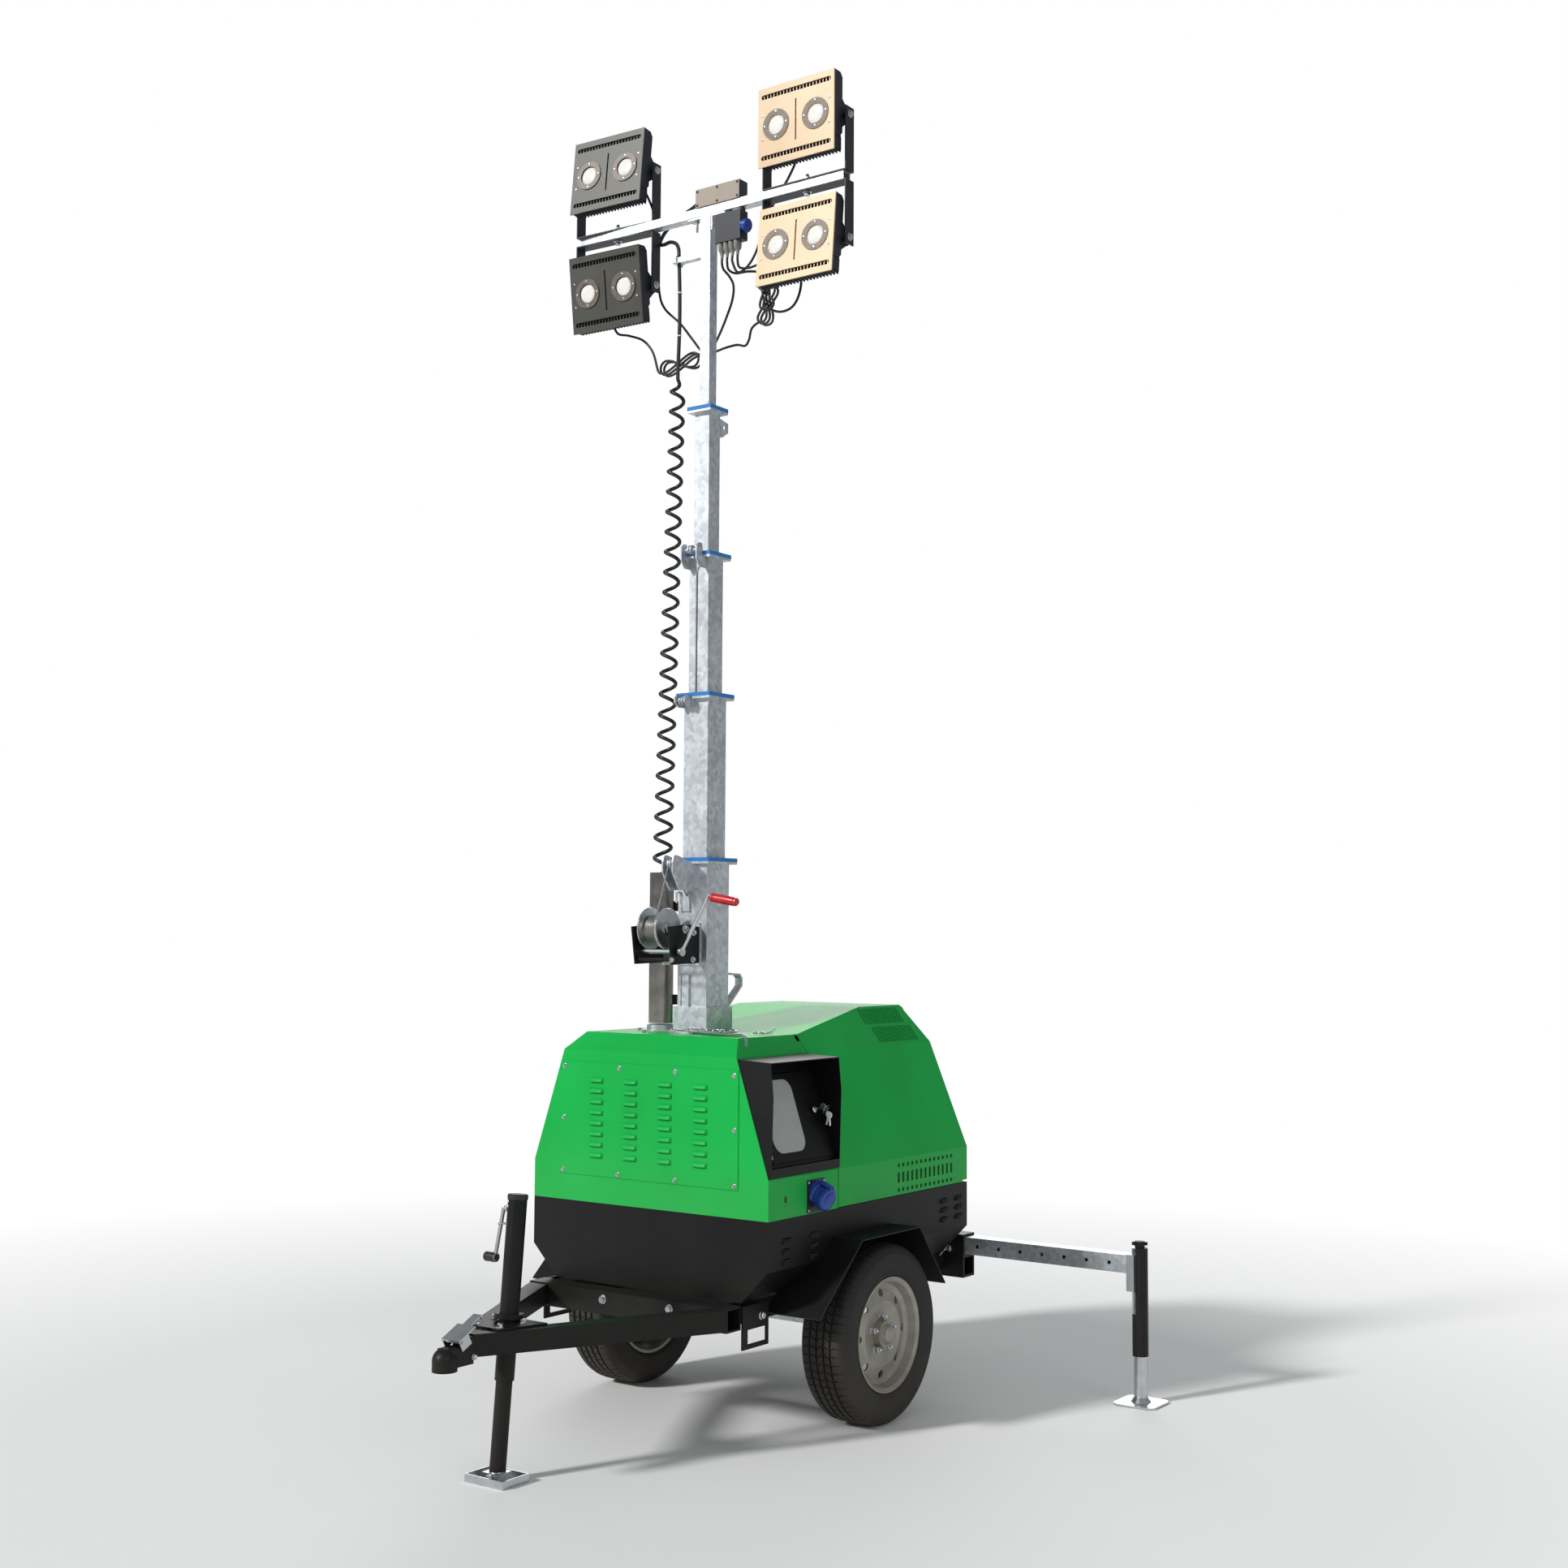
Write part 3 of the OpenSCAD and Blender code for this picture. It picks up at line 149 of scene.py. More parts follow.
def brick(low, high, ease=0.001):
    # box between two corners with eased edges
    low, high = np.asarray(low, float), np.asarray(high, float)
    size = high - low
    outline = np.array([[0, 0], [size[0], 0], [size[0], size[1]], [0, size[1]]])
    return slab(outline, 0, size[2], low, (1, 0, 0), (0, 1, 0), (0, 0, 1), min(ease, size.min() / 3))


def smoothLine(points, spacing):
    # a spline through the points, read off at even spacing along its length
    p = np.asarray(points, float)
    ends = np.concatenate([[2 * p[0] - p[1]], p, [2 * p[-1] - p[-2]]])
    a, b, c, d = ends[:-3, None], ends[1:-2, None], ends[2:-1, None], ends[3:, None]
    t = np.linspace(0, 1, 24, endpoint=False)[None, :, None]
    curve = 0.5 * (2 * b + (c - a) * t + (2 * a - 5 * b + 4 * c - d) * t ** 2 + (3 * b - a - 3 * c + d) * t ** 3)
    curve = np.concatenate([curve.reshape(-1, 3), p[-1:]])
    run = np.concatenate([[0], np.cumsum(np.linalg.norm(np.diff(curve, axis=0), axis=1))])
    even = np.linspace(0, run[-1], max(int(run[-1] / spacing), 3) + 1)
    return np.stack([np.interp(even, run, curve[:, k]) for k in range(3)], axis=1)


def tube(line, radius, sides=12):
    # circle of the radius carried along the line, its frame passed on without twist
    line = np.asarray(line, float)
    tangent = np.gradient(line, axis=0)
    tangent /= np.linalg.norm(tangent, axis=1, keepdims=True)
    side = np.cross(tangent[0], [0, 0, 1] if abs(tangent[0][2]) < 0.9 else [0, 1, 0])
    sideways = []
    for t in tangent:
        side = side - (side @ t) * t
        side = side / np.linalg.norm(side)
        sideways.append(side)
    sideways = np.array(sideways)
    other = np.cross(tangent, sideways)
    angle = np.arange(sides) * 2 * math.pi / sides
    radius = np.broadcast_to(np.asarray(radius, float), len(line))[:, None, None]
    rings = line[:, None] + radius * (np.cos(angle)[None, :, None] * sideways[:, None] + np.sin(angle)[None, :, None] * other[:, None])
    return skin(rings)


def wireRing(centre, u, v, a, b, wire, steps=20, sides=8):
    # closed wire: centre + a cos t u + b sin t v
    u, v = np.asarray(u, float), np.asarray(v, float)
    t = np.arange(steps)[:, None] * 2 * math.pi / steps
    line = np.asarray(centre, float) + a * np.cos(t) * u + b * np.sin(t) * v
    out = b * np.cos(t) * u + a * np.sin(t) * v
    out = out / np.linalg.norm(out, axis=1, keepdims=True)
    turn = np.arange(sides)[None, :, None] * 2 * math.pi / sides
    rings = line[:, None] + wire * (np.cos(turn) * out[:, None] + np.sin(turn) * np.cross(u, v))
    return skin(rings, looped=True)


def pierced(xs, zs, isHole, y0, y1):
    # upright sheet made of the cells between the cut lines, less the holes; a wall stands wherever a cell ends
    columns, rows = len(xs) - 1, len(zs) - 1
    full = np.zeros((columns + 2, rows + 2), bool)
    for i in range(columns):
        for j in range(rows):
            full[i + 1, j + 1] = not isHole((xs[i] + xs[i + 1]) / 2, (zs[j] + zs[j + 1]) / 2)
    points = np.array([(x, y, z) for x in xs for z in zs for y in (y0, y1)], float)
    at = lambda i, j, k: (i * len(zs) + j) * 2 + k
    faces = []
    for i in range(columns):
        for j in range(rows):
            if not full[i + 1, j + 1]:
                continue
            ring = [(i, j), (i + 1, j), (i + 1, j + 1), (i, j + 1)]
            faces += [[at(a, b, 0) for a, b in ring], [at(a, b, 1) for a, b in reversed(ring)]]
            for (a, b), (c, d), (m, n) in zip(ring, ring[1:] + ring[:1], ((0, -1), (1, 0), (0, 1), (-1, 0))):
                if not full[i + 1 + m, j + 1 + n]:
                    faces.append([at(a, b, 1), at(c, d, 1), at(c, d, 0), at(a, b, 0)])
    return points, faces


def hood(centre, along, up, wide, deep, high):
    # pressed louvre, open at its foot: depth = deep (1 - (e / wide)^8)^0.5 at distance e along it
    along, up = np.asarray(along, float), np.asarray(up, float)
    out = np.cross(along, up)
    section = np.array([(0, 0.22), (0.22, 0.18), (0.55, 0), (0.86, -0.36), (0.98, -0.68), (1, -0.86),
                        (0.88, -0.86), (0.85, -0.68), (0.72, -0.36), (0.42, -0.08), (0.12, 0.06), (0, 0.1)])
    e = np.array([-1, -0.97, -0.88, -0.74, -0.4, 0, 0.4, 0.74, 0.88, 0.97, 1])
    swell = np.sqrt(np.clip(1 - e ** 8, 0, 1)) + 0.03
    rings = [np.asarray(centre, float) + x * wide * along + deep * s * section[:, :1] * out + high * section[:, 1:] * up for x, s in zip(e, swell)]
    return skin(np.stack(rings))


def hexBolt(origin, axis, across, height, washer=0.0):
    # six-sided head with a turned crown, on a washer where one is given
    r = across / 2 / math.cos(math.pi / 6)
    base = 0.18 * height if washer else 0
    parts = [lathe([(r, base), (r, base + height * 0.85), (r * 0.82, base + height)], origin, axis, 6)]
    if washer:
        parts.append(lathe([(washer, 0), (washer, base * 0.8), (washer * 0.94, base)], origin, axis, 28))
    return parts


def addPiece(name, parts, body, material, sharp=35, ride=True):
    # the parts as one closed mesh, its faces turned outwards
    starts = np.cumsum([0] + [len(p[0]) for p in parts])
    points = np.concatenate([p[0] for p in parts])
    faces = [[i + s for i in f] for p, s in zip(parts, starts) for f in p[1]]
    mesh = bpy.data.meshes.new(name)
    mesh.from_pydata(points.tolist(), [], faces)
    work = bmesh.new()
    work.from_mesh(mesh)
    bmesh.ops.recalc_face_normals(work, faces=work.faces)
    work.to_mesh(mesh)
    work.free()
    mesh.shade_smooth()
    mesh.set_sharp_from_angle(angle=math.radians(sharp))
    piece = bpy.data.objects.new(name, mesh)
    bpy.context.scene.collection.objects.link(piece)
    mesh.materials.append(material)
    if ride:
        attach(piece, body)
    return piece


# ---- materials
def linear(hexText):
    # sRGB hex to the linear colour that shaders use
    v = np.array([int(hexText[i:i + 2], 16) for i in (1, 3, 5)]) / 255
    return tuple(float(x) for x in np.where(v <= 0.04045, v / 12.92, ((v + 0.055) / 1.055) ** 2.4)) + (1.0,)


def addNode(tree, kind, settings=None, links=None):
    node = tree.nodes.new(kind)
    for key, value in (settings or {}).items():
        if isinstance(key, str) and hasattr(node, key):
            setattr(node, key, value)
        else:
            node.inputs[key].default_value = value
    for key, source in (links or {}).items():
        tree.links.new(source, node.inputs[key])
    return node


def coat(tree, place, look):
    # base colour drifts between two tones, dust gathers below a height, roughness and bump follow a fine grain
    patch = addNode(tree, "ShaderNodeTexNoise", {"Scale": 1 / look.get("patch", 0.15), "Detail": 6.0, "Roughness": 0.6}, {"Vector": place})
    spread = addNode(tree, "ShaderNodeMapRange", {1: 0.35, 2: 0.68}, {0: patch.outputs["Fac"]})
    tone = addNode(tree, "ShaderNodeMix", {"data_type": "RGBA", 6: linear(look["tones"][0]), 7: linear(look["tones"][1])}, {0: spread.outputs[0]})
    colour = tone.outputs[2]
    grain = addNode(tree, "ShaderNodeTexNoise", {"Scale": 1 / look.get("grain", 0.003), "Detail": 3.0}, {"Vector": place})
    height = grain.outputs["Fac"]
    if "crystals" in look:  # zinc flowers: flat cells of different brightness
        cells = addNode(tree, "ShaderNodeTexVoronoi", {"Scale": 1 / look["crystals"], "Randomness": 1.0}, {"Vector": place})
        shade = addNode(tree, "ShaderNodeSeparateColor", {}, {0: cells.outputs["Color"]})
        level = addNode(tree, "ShaderNodeMapRange", {3: 0.80, 4: 1.12}, {0: shade.outputs[0]})
        bright = addNode(tree, "ShaderNodeVectorMath", {"operation": "SCALE"}, {0: colour, "Scale": level.outputs[0]})
        colour = bright.outputs[0]
    if "dust" in look:
        hexText, low, high, amount = look["dust"]
        up = addNode(tree, "ShaderNodeSeparateXYZ", {}, {0: place})
        fade = addNode(tree, "ShaderNodeMapRange", {1: low, 2: high, 3: amount, 4: 0.0}, {0: up.outputs["Z"]})
        speck = addNode(tree, "ShaderNodeTexNoise", {"Scale": 9.0, "Detail": 8.0, "Roughness": 0.7}, {"Vector": place})
        much = addNode(tree, "ShaderNodeMath", {"operation": "MULTIPLY"}, {0: fade.outputs[0], 1: speck.outputs["Fac"]})
        layer = addNode(tree, "ShaderNodeMix", {"data_type": "RGBA", 7: linear(hexText)}, {0: much.outputs[0], 6: colour})
        colour = layer.outputs[2]
    rough = addNode(tree, "ShaderNodeMapRange", {3: look["rough"][0], 4: look["rough"][1]}, {0: patch.outputs["Fac"]})
    bump = addNode(tree, "ShaderNodeBump", {"Strength": look.get("bump", 0.2), "Distance": look.get("depth", 0.0005)}, {"Height": height})
    shader = addNode(tree, "ShaderNodeBsdfPrincipled", {"Metallic": look.get("metal", 0.0)},
                     {"Base Color": colour, "Roughness": rough.outputs[0], "Normal": bump.outputs[0]})
    for key, value in look.get("shader", {}).items():
        shader.inputs[key].default_value = value
    return shader.outputs[0]


def boxMask(tree, place, low, high):
    # 1 inside the box between two corners
    low, high = np.asarray(low, float), np.asarray(high, float)
    moved = addNode(tree, "ShaderNodeVectorMath", {"operation": "SUBTRACT", 1: tuple((low + high) / 2)}, {0: place})
    apart = addNode(tree, "ShaderNodeVectorMath", {"operation": "ABSOLUTE"}, {0: moved.outputs[0]})
    parts = addNode(tree, "ShaderNodeSeparateXYZ", {}, {0: apart.outputs[0]})
    inside = [addNode(tree, "ShaderNodeMath", {"operation": "LESS_THAN", 1: float(half)}, {0: parts.outputs[k]}).outputs[0] for k, half in enumerate((high - low) / 2)]
    pair = addNode(tree, "ShaderNodeMath", {"operation": "MULTIPLY"}, {0: inside[0], 1: inside[1]})
    return addNode(tree, "ShaderNodeMath", {"operation": "MULTIPLY"}, {0: pair.outputs[0], 1: inside[2]}).outputs[0]


def planeMask(tree, place, point, normal):
    # 1 behind the plane through the point
    depth = addNode(tree, "ShaderNodeVectorMath", {"operation": "DOT_PRODUCT", 1: tuple(normal)}, {0: place})
    return addNode(tree, "ShaderNodeMath", {"operation": "LESS_THAN", 1: float(np.dot(point, normal))}, {0: depth.outputs["Value"]}).outputs[0]


def finish(name, look, other=None, mask=None, where=()):
    # one coat, or another one where the mask is 1
    material = bpy.data.materials.new(name)
    material.use_nodes = True
    tree = material.node_tree
    tree.nodes.clear()
    place = addNode(tree, "ShaderNodeTexCoord").outputs["Object"]
    surface = coat(tree, place, look)
    if other:
        surface = addNode(tree, "ShaderNodeMixShader", {}, {0: mask(tree, place, *where), 1: surface, 2: coat(tree, place, other)}).outputs[0]
    addNode(tree, "ShaderNodeOutputMaterial", {}, {"Surface": surface})
    return material


looks = {
    # powder coat baked on steel: even colour, faint orange peel
    "greenPowderCoat": {"tones": ("#08A743", "#0CB24B"), "patch": 0.4, "rough": (0.38, 0.5), "grain": 0.004, "bump": 0.10, "depth": 0.0002, "dust": ("#8E8A78", 0.70, 0.95, 0.14), "shader": {"Specular IOR Level": 0.2}},
    # the same in black: satin, with road dust low down
    "blackPowderCoat": {"tones": ("#0E0E0F", "#151516"), "patch": 0.25, "rough": (0.36, 0.5), "grain": 0.003, "bump": 0.12, "depth": 0.0002, "dust": ("#5E5648", 0.30, 0.75, 0.14), "shader": {"Specular IOR Level": 0.22}},
    # hot-dip galvanised steel: grey zinc flowers, half dull
    "galvanisedSteel": {"tones": ("#C6CBD0", "#D3D7DB"), "patch": 0.12, "rough": (0.34, 0.52), "metal": 0.85, "crystals": 0.016, "grain": 0.004, "bump": 0.15, "depth": 0.0003},
    # electroplated zinc: bright, slightly blue
    "platedZinc": {"tones": ("#BFC3C6", "#CFD2D2"), "patch": 0.05, "rough": (0.22, 0.36), "metal": 1.0, "grain": 0.002, "bump": 0.08, "depth": 0.0002},
    # sprayed wheel enamel: pale silver with brown dust in the dish
    "wheelEnamel": {"tones": ("#98968C", "#ACA99E"), "patch": 0.06, "rough": (0.32, 0.5), "metal": 0.45, "grain": 0.002, "bump": 0.1, "depth": 0.0002, "dust": ("#6E624E", 0.10, 0.46, 0.45)},
    # moulded tyre rubber: dull, dusty grey on the tread
    "tyreRubber": {"tones": ("#161617", "#201F1F"), "patch": 0.04, "rough": (0.62, 0.8), "grain": 0.0015, "bump": 0.3, "depth": 0.0004, "dust": ("#7A6F5C", 0.02, 0.5, 0.22)},
    # machined polyamide: even blue, fine tool marks
    "bluePolyamide": {"tones": ("#176FB4", "#1C7AC2"), "patch": 0.05, "rough": (0.38, 0.5), "grain": 0.002, "bump": 0.1, "depth": 0.0002},
    # powder-coated lamp castings: dark grey, fine texture
    "greyLampCoat": {"tones": ("#1F2127", "#2A2C33"), "patch": 0.08, "rough": (0.38, 0.52), "metal": 0.2, "grain": 0.0016, "bump": 0.2, "depth": 0.0002},
    # right lamps' front plates: the sun's glare painted in as a warm, bright beige
    "sunGlareLampCoat": {"tones": ("#C9B295", "#D8C2A4"), "patch": 0.2, "rough": (0.30, 0.42), "metal": 0.35, "grain": 0.002, "bump": 0.1, "depth": 0.0002},
    # the same plates glaring in the sun, and those turned away from it
    "sunlitPlate": {"tones": ("#C3A988", "#D0B796"), "patch": 0.2, "rough": (0.34, 0.46), "metal": 0.15, "grain": 0.002, "bump": 0.08, "depth": 0.0002},
    "shadedPlate": {"tones": ("#403F3A", "#4B4A44"), "patch": 0.2, "rough": (0.34, 0.46), "metal": 0.15, "grain": 0.002, "bump": 0.08, "depth": 0.0002},
    # turned steel lens flanges
    "lensFlange": {"tones": ("#62594F", "#746A5F"), "patch": 0.02, "rough": (0.35, 0.5), "metal": 0.15, "grain": 0.002, "bump": 0.08, "depth": 0.0001},
    # drawn and polished stainless tube
    "polishedSteel": {"tones": ("#8E8A84", "#A9A59E"), "patch": 0.05, "rough": (0.12, 0.24), "metal": 1.0, "grain": 0.002, "bump": 0.04, "depth": 0.0001},
    # red and black vinyl grips, moulded blue socket bodies
    "redGrip": {"tones": ("#B91C26", "#C6222C"), "patch": 0.03, "rough": (0.22, 0.34), "grain": 0.002, "bump": 0.05, "depth": 0.0001},
    "blackGrip": {"tones": ("#1A1917", "#232220"), "patch": 0.03, "rough": (0.35, 0.5), "grain": 0.002, "bump": 0.1, "depth": 0.0001},
    "bluePlastic": {"tones": ("#1F3F96", "#2548A4"), "patch": 0.03, "rough": (0.25, 0.4), "grain": 0.002, "bump": 0.05, "depth": 0.0001},
    "greyPlug": {"tones": ("#8C8A86", "#989691"), "patch": 0.03, "rough": (0.45, 0.6), "grain": 0.002, "bump": 0.08, "depth": 0.0001},
    "blackPolycarbonate": {"tones": ("#191A1D", "#22242A"), "patch": 0.1, "rough": (0.35, 0.5), "grain": 0.0012, "bump": 0.2, "depth": 0.0002},
    "whiteTie": {"tones": ("#D9D8D2", "#E6E5E0"), "patch": 0.03, "rough": (0.4, 0.5)},
    # stranded wire rope, greased
    "wireRope": {"tones": ("#8F8E89", "#A8A7A1"), "patch": 0.01, "rough": (0.3, 0.5), "metal": 0.9, "grain": 0.002, "bump": 0.5, "depth": 0.0006},
    # injection-moulded grey housings; the lid's warm tone is sunlight painted onto the grey
    "sunlitLid": {"tones": ("#9A8C7E", "#A89A8B"), "patch": 0.1, "rough": (0.4, 0.55), "grain": 0.0012, "bump": 0.2, "depth": 0.0002},
    "greyPolycarbonate": {"tones": ("#34363F", "#40424B"), "patch": 0.1, "rough": (0.4, 0.55), "grain": 0.0012, "bump": 0.2, "depth": 0.0002},
    # sprayed engine paint, seen only through the vents
    "enginePaint": {"tones": ("#33373A", "#41464A"), "patch": 0.1, "rough": (0.5, 0.7), "grain": 0.003, "bump": 0.2},
    # cast clear sheet, part see-through; its pale grey base colour is a painted reflection of the sky
    "clearSheet": {"tones": ("#B4B9B6", "#C8CCC9"), "patch": 0.25, "rough": (0.05, 0.14), "grain": 0.05, "bump": 0.02, "shader": {"IOR": 1.58, "Alpha": 0.72}},
    # extruded cable sheath: dark, semi-matt
    "cableSheath": {"tones": ("#131417", "#1E2024"), "patch": 0.02, "rough": (0.38, 0.5), "grain": 0.002, "bump": 0.08, "depth": 0.0001},
}
made = {name: finish(name, look) for name, look in looks.items()}
nodeLooks = {
    "greenPowderCoat": ["front_canopy", "louvre_panel", "rear_hood"],
    "blackPowderCoat": ["chassis_frame", "receiver", "tie_loops", "drawbar", "coupler", "jack_tube", "mudguards", "tub", "control_visor", "control_door", "winch_frame", "leg_tube_left", "leg_tube_right"],
    "galvanisedSteel": ["axle", "mast_1", "mast_2", "mast_3", "mast_4", "mast_5", "mast_fittings", "lamp_bar", "beam_left", "beam_right"],
    "platedZinc": ["coupler_latch", "jack_crank", "jack_leg", "winch_drum", "winch_crank", "leg_left", "leg_right"],
    "wheelEnamel": ["rim_left", "rim_right"],
    "tyreRubber": ["tyre_left", "tyre_right"],
    "bluePolyamide": ["collar_1", "collar_2", "collar_3", "collar_4"],
    "greyLampCoat": ["lamp_yokes", "lamp_upper_left", "lamp_lower_left"],
    # the right lamps take the colour with the sun's glare painted in
    "sunGlareLampCoat": ["lamp_upper_right", "lamp_lower_right"],
    "greyPolycarbonate": ["control_panel", "junction_box"],
    "enginePaint": ["engine_block"],
    "clearSheet": ["door_window"],
    "cableSheath": ["curly_cord", "lead_upper_left", "lead_upper_right", "lead_lower_left", "lead_lower_right"],
}


def dressNode(nodeName, material):
    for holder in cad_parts[nodeName].material_slots:
        holder.material = material


for lookName, names in nodeLooks.items():
    for nodeName in names:
        dressNode(nodeName, made[lookName])

# nodes with two finishes, and the box that the second one fills
twoTone = {
    "jack_leg": ("blackPowderCoat", "platedZinc", (-100, -1400, -1), (100, -1000, 31.5)),
    "winch_frame": ("blackPowderCoat", "galvanisedSteel", (-140, -331.2, 1400), (60, -320, 1700)),
    "junction_box": ("blackPolycarbonate", "greyPolycarbonate", (-100, -400, 4058), (300, -100, 4200)),
    "mast_fittings": ("galvanisedSteel", "polishedSteel", (-230, -340, 1200), (-120.5, -240, 1800)),
    "leg_tube_right": ("blackPowderCoat", "platedZinc", (1060, 600, 300), (1096.2, 900, 520)),
    "leg_tube_left": ("blackPowderCoat", "platedZinc", (-1096.2, 600, 240), (-1060, 900, 520)),
}
for nodeName, (first, second, low, high) in twoTone.items():
    dressNode(nodeName, finish(nodeName + "Finish", looks[first], looks[second], boxMask, (spot(low), spot(high))))
print("materials made")


# ---- curly cord: from the storage tube's foot, up the coil, through the clamp and behind the bar
mast = {"x": 0, "y": -265, "barZ": 4045}
curly = {"tube": (-165, -283), "top": (-132, -265), "foot": 1286, "coilLow": 1690, "lastTip": 1762, "firstTip": 3440, "turns": 24, "pull": 3920,
         "lowRadius": 28, "topRadius": 21.8, "diameter": 13, "leftward": 215.5,
         "tail": [(-136, -262, 3944), (-152, -256, 3968), (-184, -248, 3983), (-222, -238, 3984), (-252, -222, 3998), (-254, -206, 4030), (-226, -200, 4062), (-170, -204, 4086), (-110, -220, 4096), (-66, -244, 4096), (-38, -256, 4094)]}


def curlyLine(c):
    # straight up the tube, then the axis point plus radius (cos t, sin t) with t growing as the cord goes down, then straight to the clamp
    axis = lambda z: np.stack([np.interp(z, [1781, 3447], [c["tube"][k], c["top"][k]]) for k in (0, 1)], axis=-1)
    foot = np.linspace(c["foot"], c["coilLow"] - 60, 8)
    z = np.linspace(c["coilLow"] - 45, c["firstTip"] + 48, int(c["turns"] * 26))
    angle = np.radians(c["leftward"] + 360 * (c["firstTip"] - z) * c["turns"] / (c["firstTip"] - c["lastTip"]))
    swell = np.clip((z - c["coilLow"] + 45) / 70, 0, 1) * np.clip((c["firstTip"] + 48 - z) / 52, 0, 1)
    radius = np.interp(z, [c["lastTip"], c["firstTip"]], [c["lowRadius"], c["topRadius"]]) * swell * swell * (3 - 2 * swell)
    flat = axis(z) + radius[:, None] * np.stack([np.cos(angle), np.sin(angle)], axis=1)
    coil = np.column_stack([flat, z])
    straight = np.linspace(c["firstTip"] + 75, c["pull"], 9)
    bow = 6 * np.sin(np.linspace(0, math.pi, 9))
    upper = np.column_stack([np.interp(straight, [3447, c["pull"]], [c["top"][0]] * 2) + bow, np.full(9, c["top"][1]), straight])
    low = np.column_stack([axis(foot), foot])
    tail = smoothLine(np.concatenate([upper[-2:], c["tail"]]), 12)[2:]
    return spot(np.concatenate([low, coil, upper[:-1], tail]))


curlyPath = curlyLine(curly)
curlyCord = addPiece("curly_cord_coil", [tube(curlyPath, curly["diameter"] / 2000, 12)], "mast_base", made["cableSheath"], 80, ride=False)
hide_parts("curly_cord")
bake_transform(curlyCord)

# ---- lamps: where each one hangs
lamp = {"x": 410, "rise": 206, "front": -70, "depth": 50, "width": 304, "height": 268, "lens": 79}
lamps = [("upper_left", -1, 1, 6, 3.5, "lamp_ul"), ("upper_right", 1, 1, 0, 0, "lamp_ur"),
         ("lower_left", -1, -1, -7, 3.5, "lamp_ll"), ("lower_right", 1, -1, 5, 0, "lamp_lr")]


def lampFrame(side, up, tilt, yaw):
    # pivot and turn of one lamp: tilted about its pin, then turned with its yoke
    a, b = math.radians(-tilt), math.radians(yaw)
    tip = np.array([[1, 0, 0], [0, math.cos(a), -math.sin(a)], [0, math.sin(a), math.cos(a)]])
    swing = np.array([[math.cos(b), -math.sin(b), 0], [math.sin(b), math.cos(b), 0], [0, 0, 1]])
    return np.array([side * lamp["x"], mast["y"], mast["barZ"] + up * lamp["rise"]]), swing @ tip


def inLamp(which, points):
    pivot, turn = lampFrame(*which[1:5])
    return spot(pivot + np.asarray(points, float) @ turn.T)


# ---- lamp leads: lamp gland, slack, a tied hank where the photograph shows one, then the plug
leadSize = 8.5
leadRoutes = {
    "lower_left": {"plug": 67, "points": [(-368, -224, 3812), (-418, -224, 3796), (-456, -225, 3752), (-440, -226, 3708), (-386, -226, 3690), (-322, -226, 3662), (-278, -226, 3614)],
                   "hank": {"centre": (-168, -226, 3556), "along": (1, 0, 0.05), "up": (0, 0, 1), "half": 88, "fat": -24, "loops": 2.5},
                   "after": [(-62, -172, 3596), (-28, -170, 3642), (6, -172, 3700), (40, -184, 3752), (66, -212, 3790), (73, -246, 3812), (69, -272, 3828)]},
    "upper_left": {"plug": 89, "points": [(-322, -212, 4190), (-290, -205, 4100), (-272, -208, 3960), (-261, -213, 3830), (-236, -212, 3765), (-176, -200, 3704), (-134, -186, 3646), (-95, -178, 3596),
                                          (-60, -176, 3584), (4, -176, 3592), (57, -178, 3593), (104, -194, 3578), (134, -212, 3590), (152, -222, 3622)],
                   "hank": {"centre": (205, -226, 3700), "along": (0.30, 0, 0.95), "up": (0.95, 0, -0.30), "half": 66, "fat": 24, "loops": 2.5},
                   "after": [(190, -180, 3792), (164, -192, 3822), (130, -216, 3826), (102, -248, 3816), (90, -272, 3824)]},
    "lower_right": {"plug": 133, "points": [(356, -222, 3760), (350, -226, 3700), (326, -234, 3660), (288, -250, 3648)],
                    "hank": {"centre": (232, -268, 3722), "along": (-0.22, 0, 0.97), "up": (0.97, 0, 0.22), "half": 60, "fat": -24, "loops": 1.5},
                    "after": [(238, -240, 3804), (206, -248, 3826), (168, -262, 3818), (138, -274, 3822)]},
    "upper_right": {"plug": 111, "points": [(330, -214, 4180), (290, -206, 4120), (240, -206, 4060), (208, -216, 3990), (198, -236, 3920), (180, -250, 3858), (156, -262, 3820), (128, -272, 3808)], "hank": None, "after": []},
}


def hankPoints(h):
    # figure of eight: half cos t along, fat sin 2t up, and a steady step back so that its turns lie beside each other;
    # it starts at the near end and leaves an eighth of a turn before the far end
    t = np.linspace(math.pi, math.pi + 2 * math.pi * h["loops"] - math.pi / 4, int(14 * h["loops"]) + 1)
    along, up = np.asarray(h["along"], float), np.asarray(h["up"], float)
    back = (t - t[0]) / math.pi * (leadSize + 1)
    points = np.asarray(h["centre"], float) + h["half"] * np.cos(t)[:, None] * along + h["fat"] * np.sin(2 * t)[:, None] * up
    return points + back[:, None] * np.array([0, 1.0, 0])


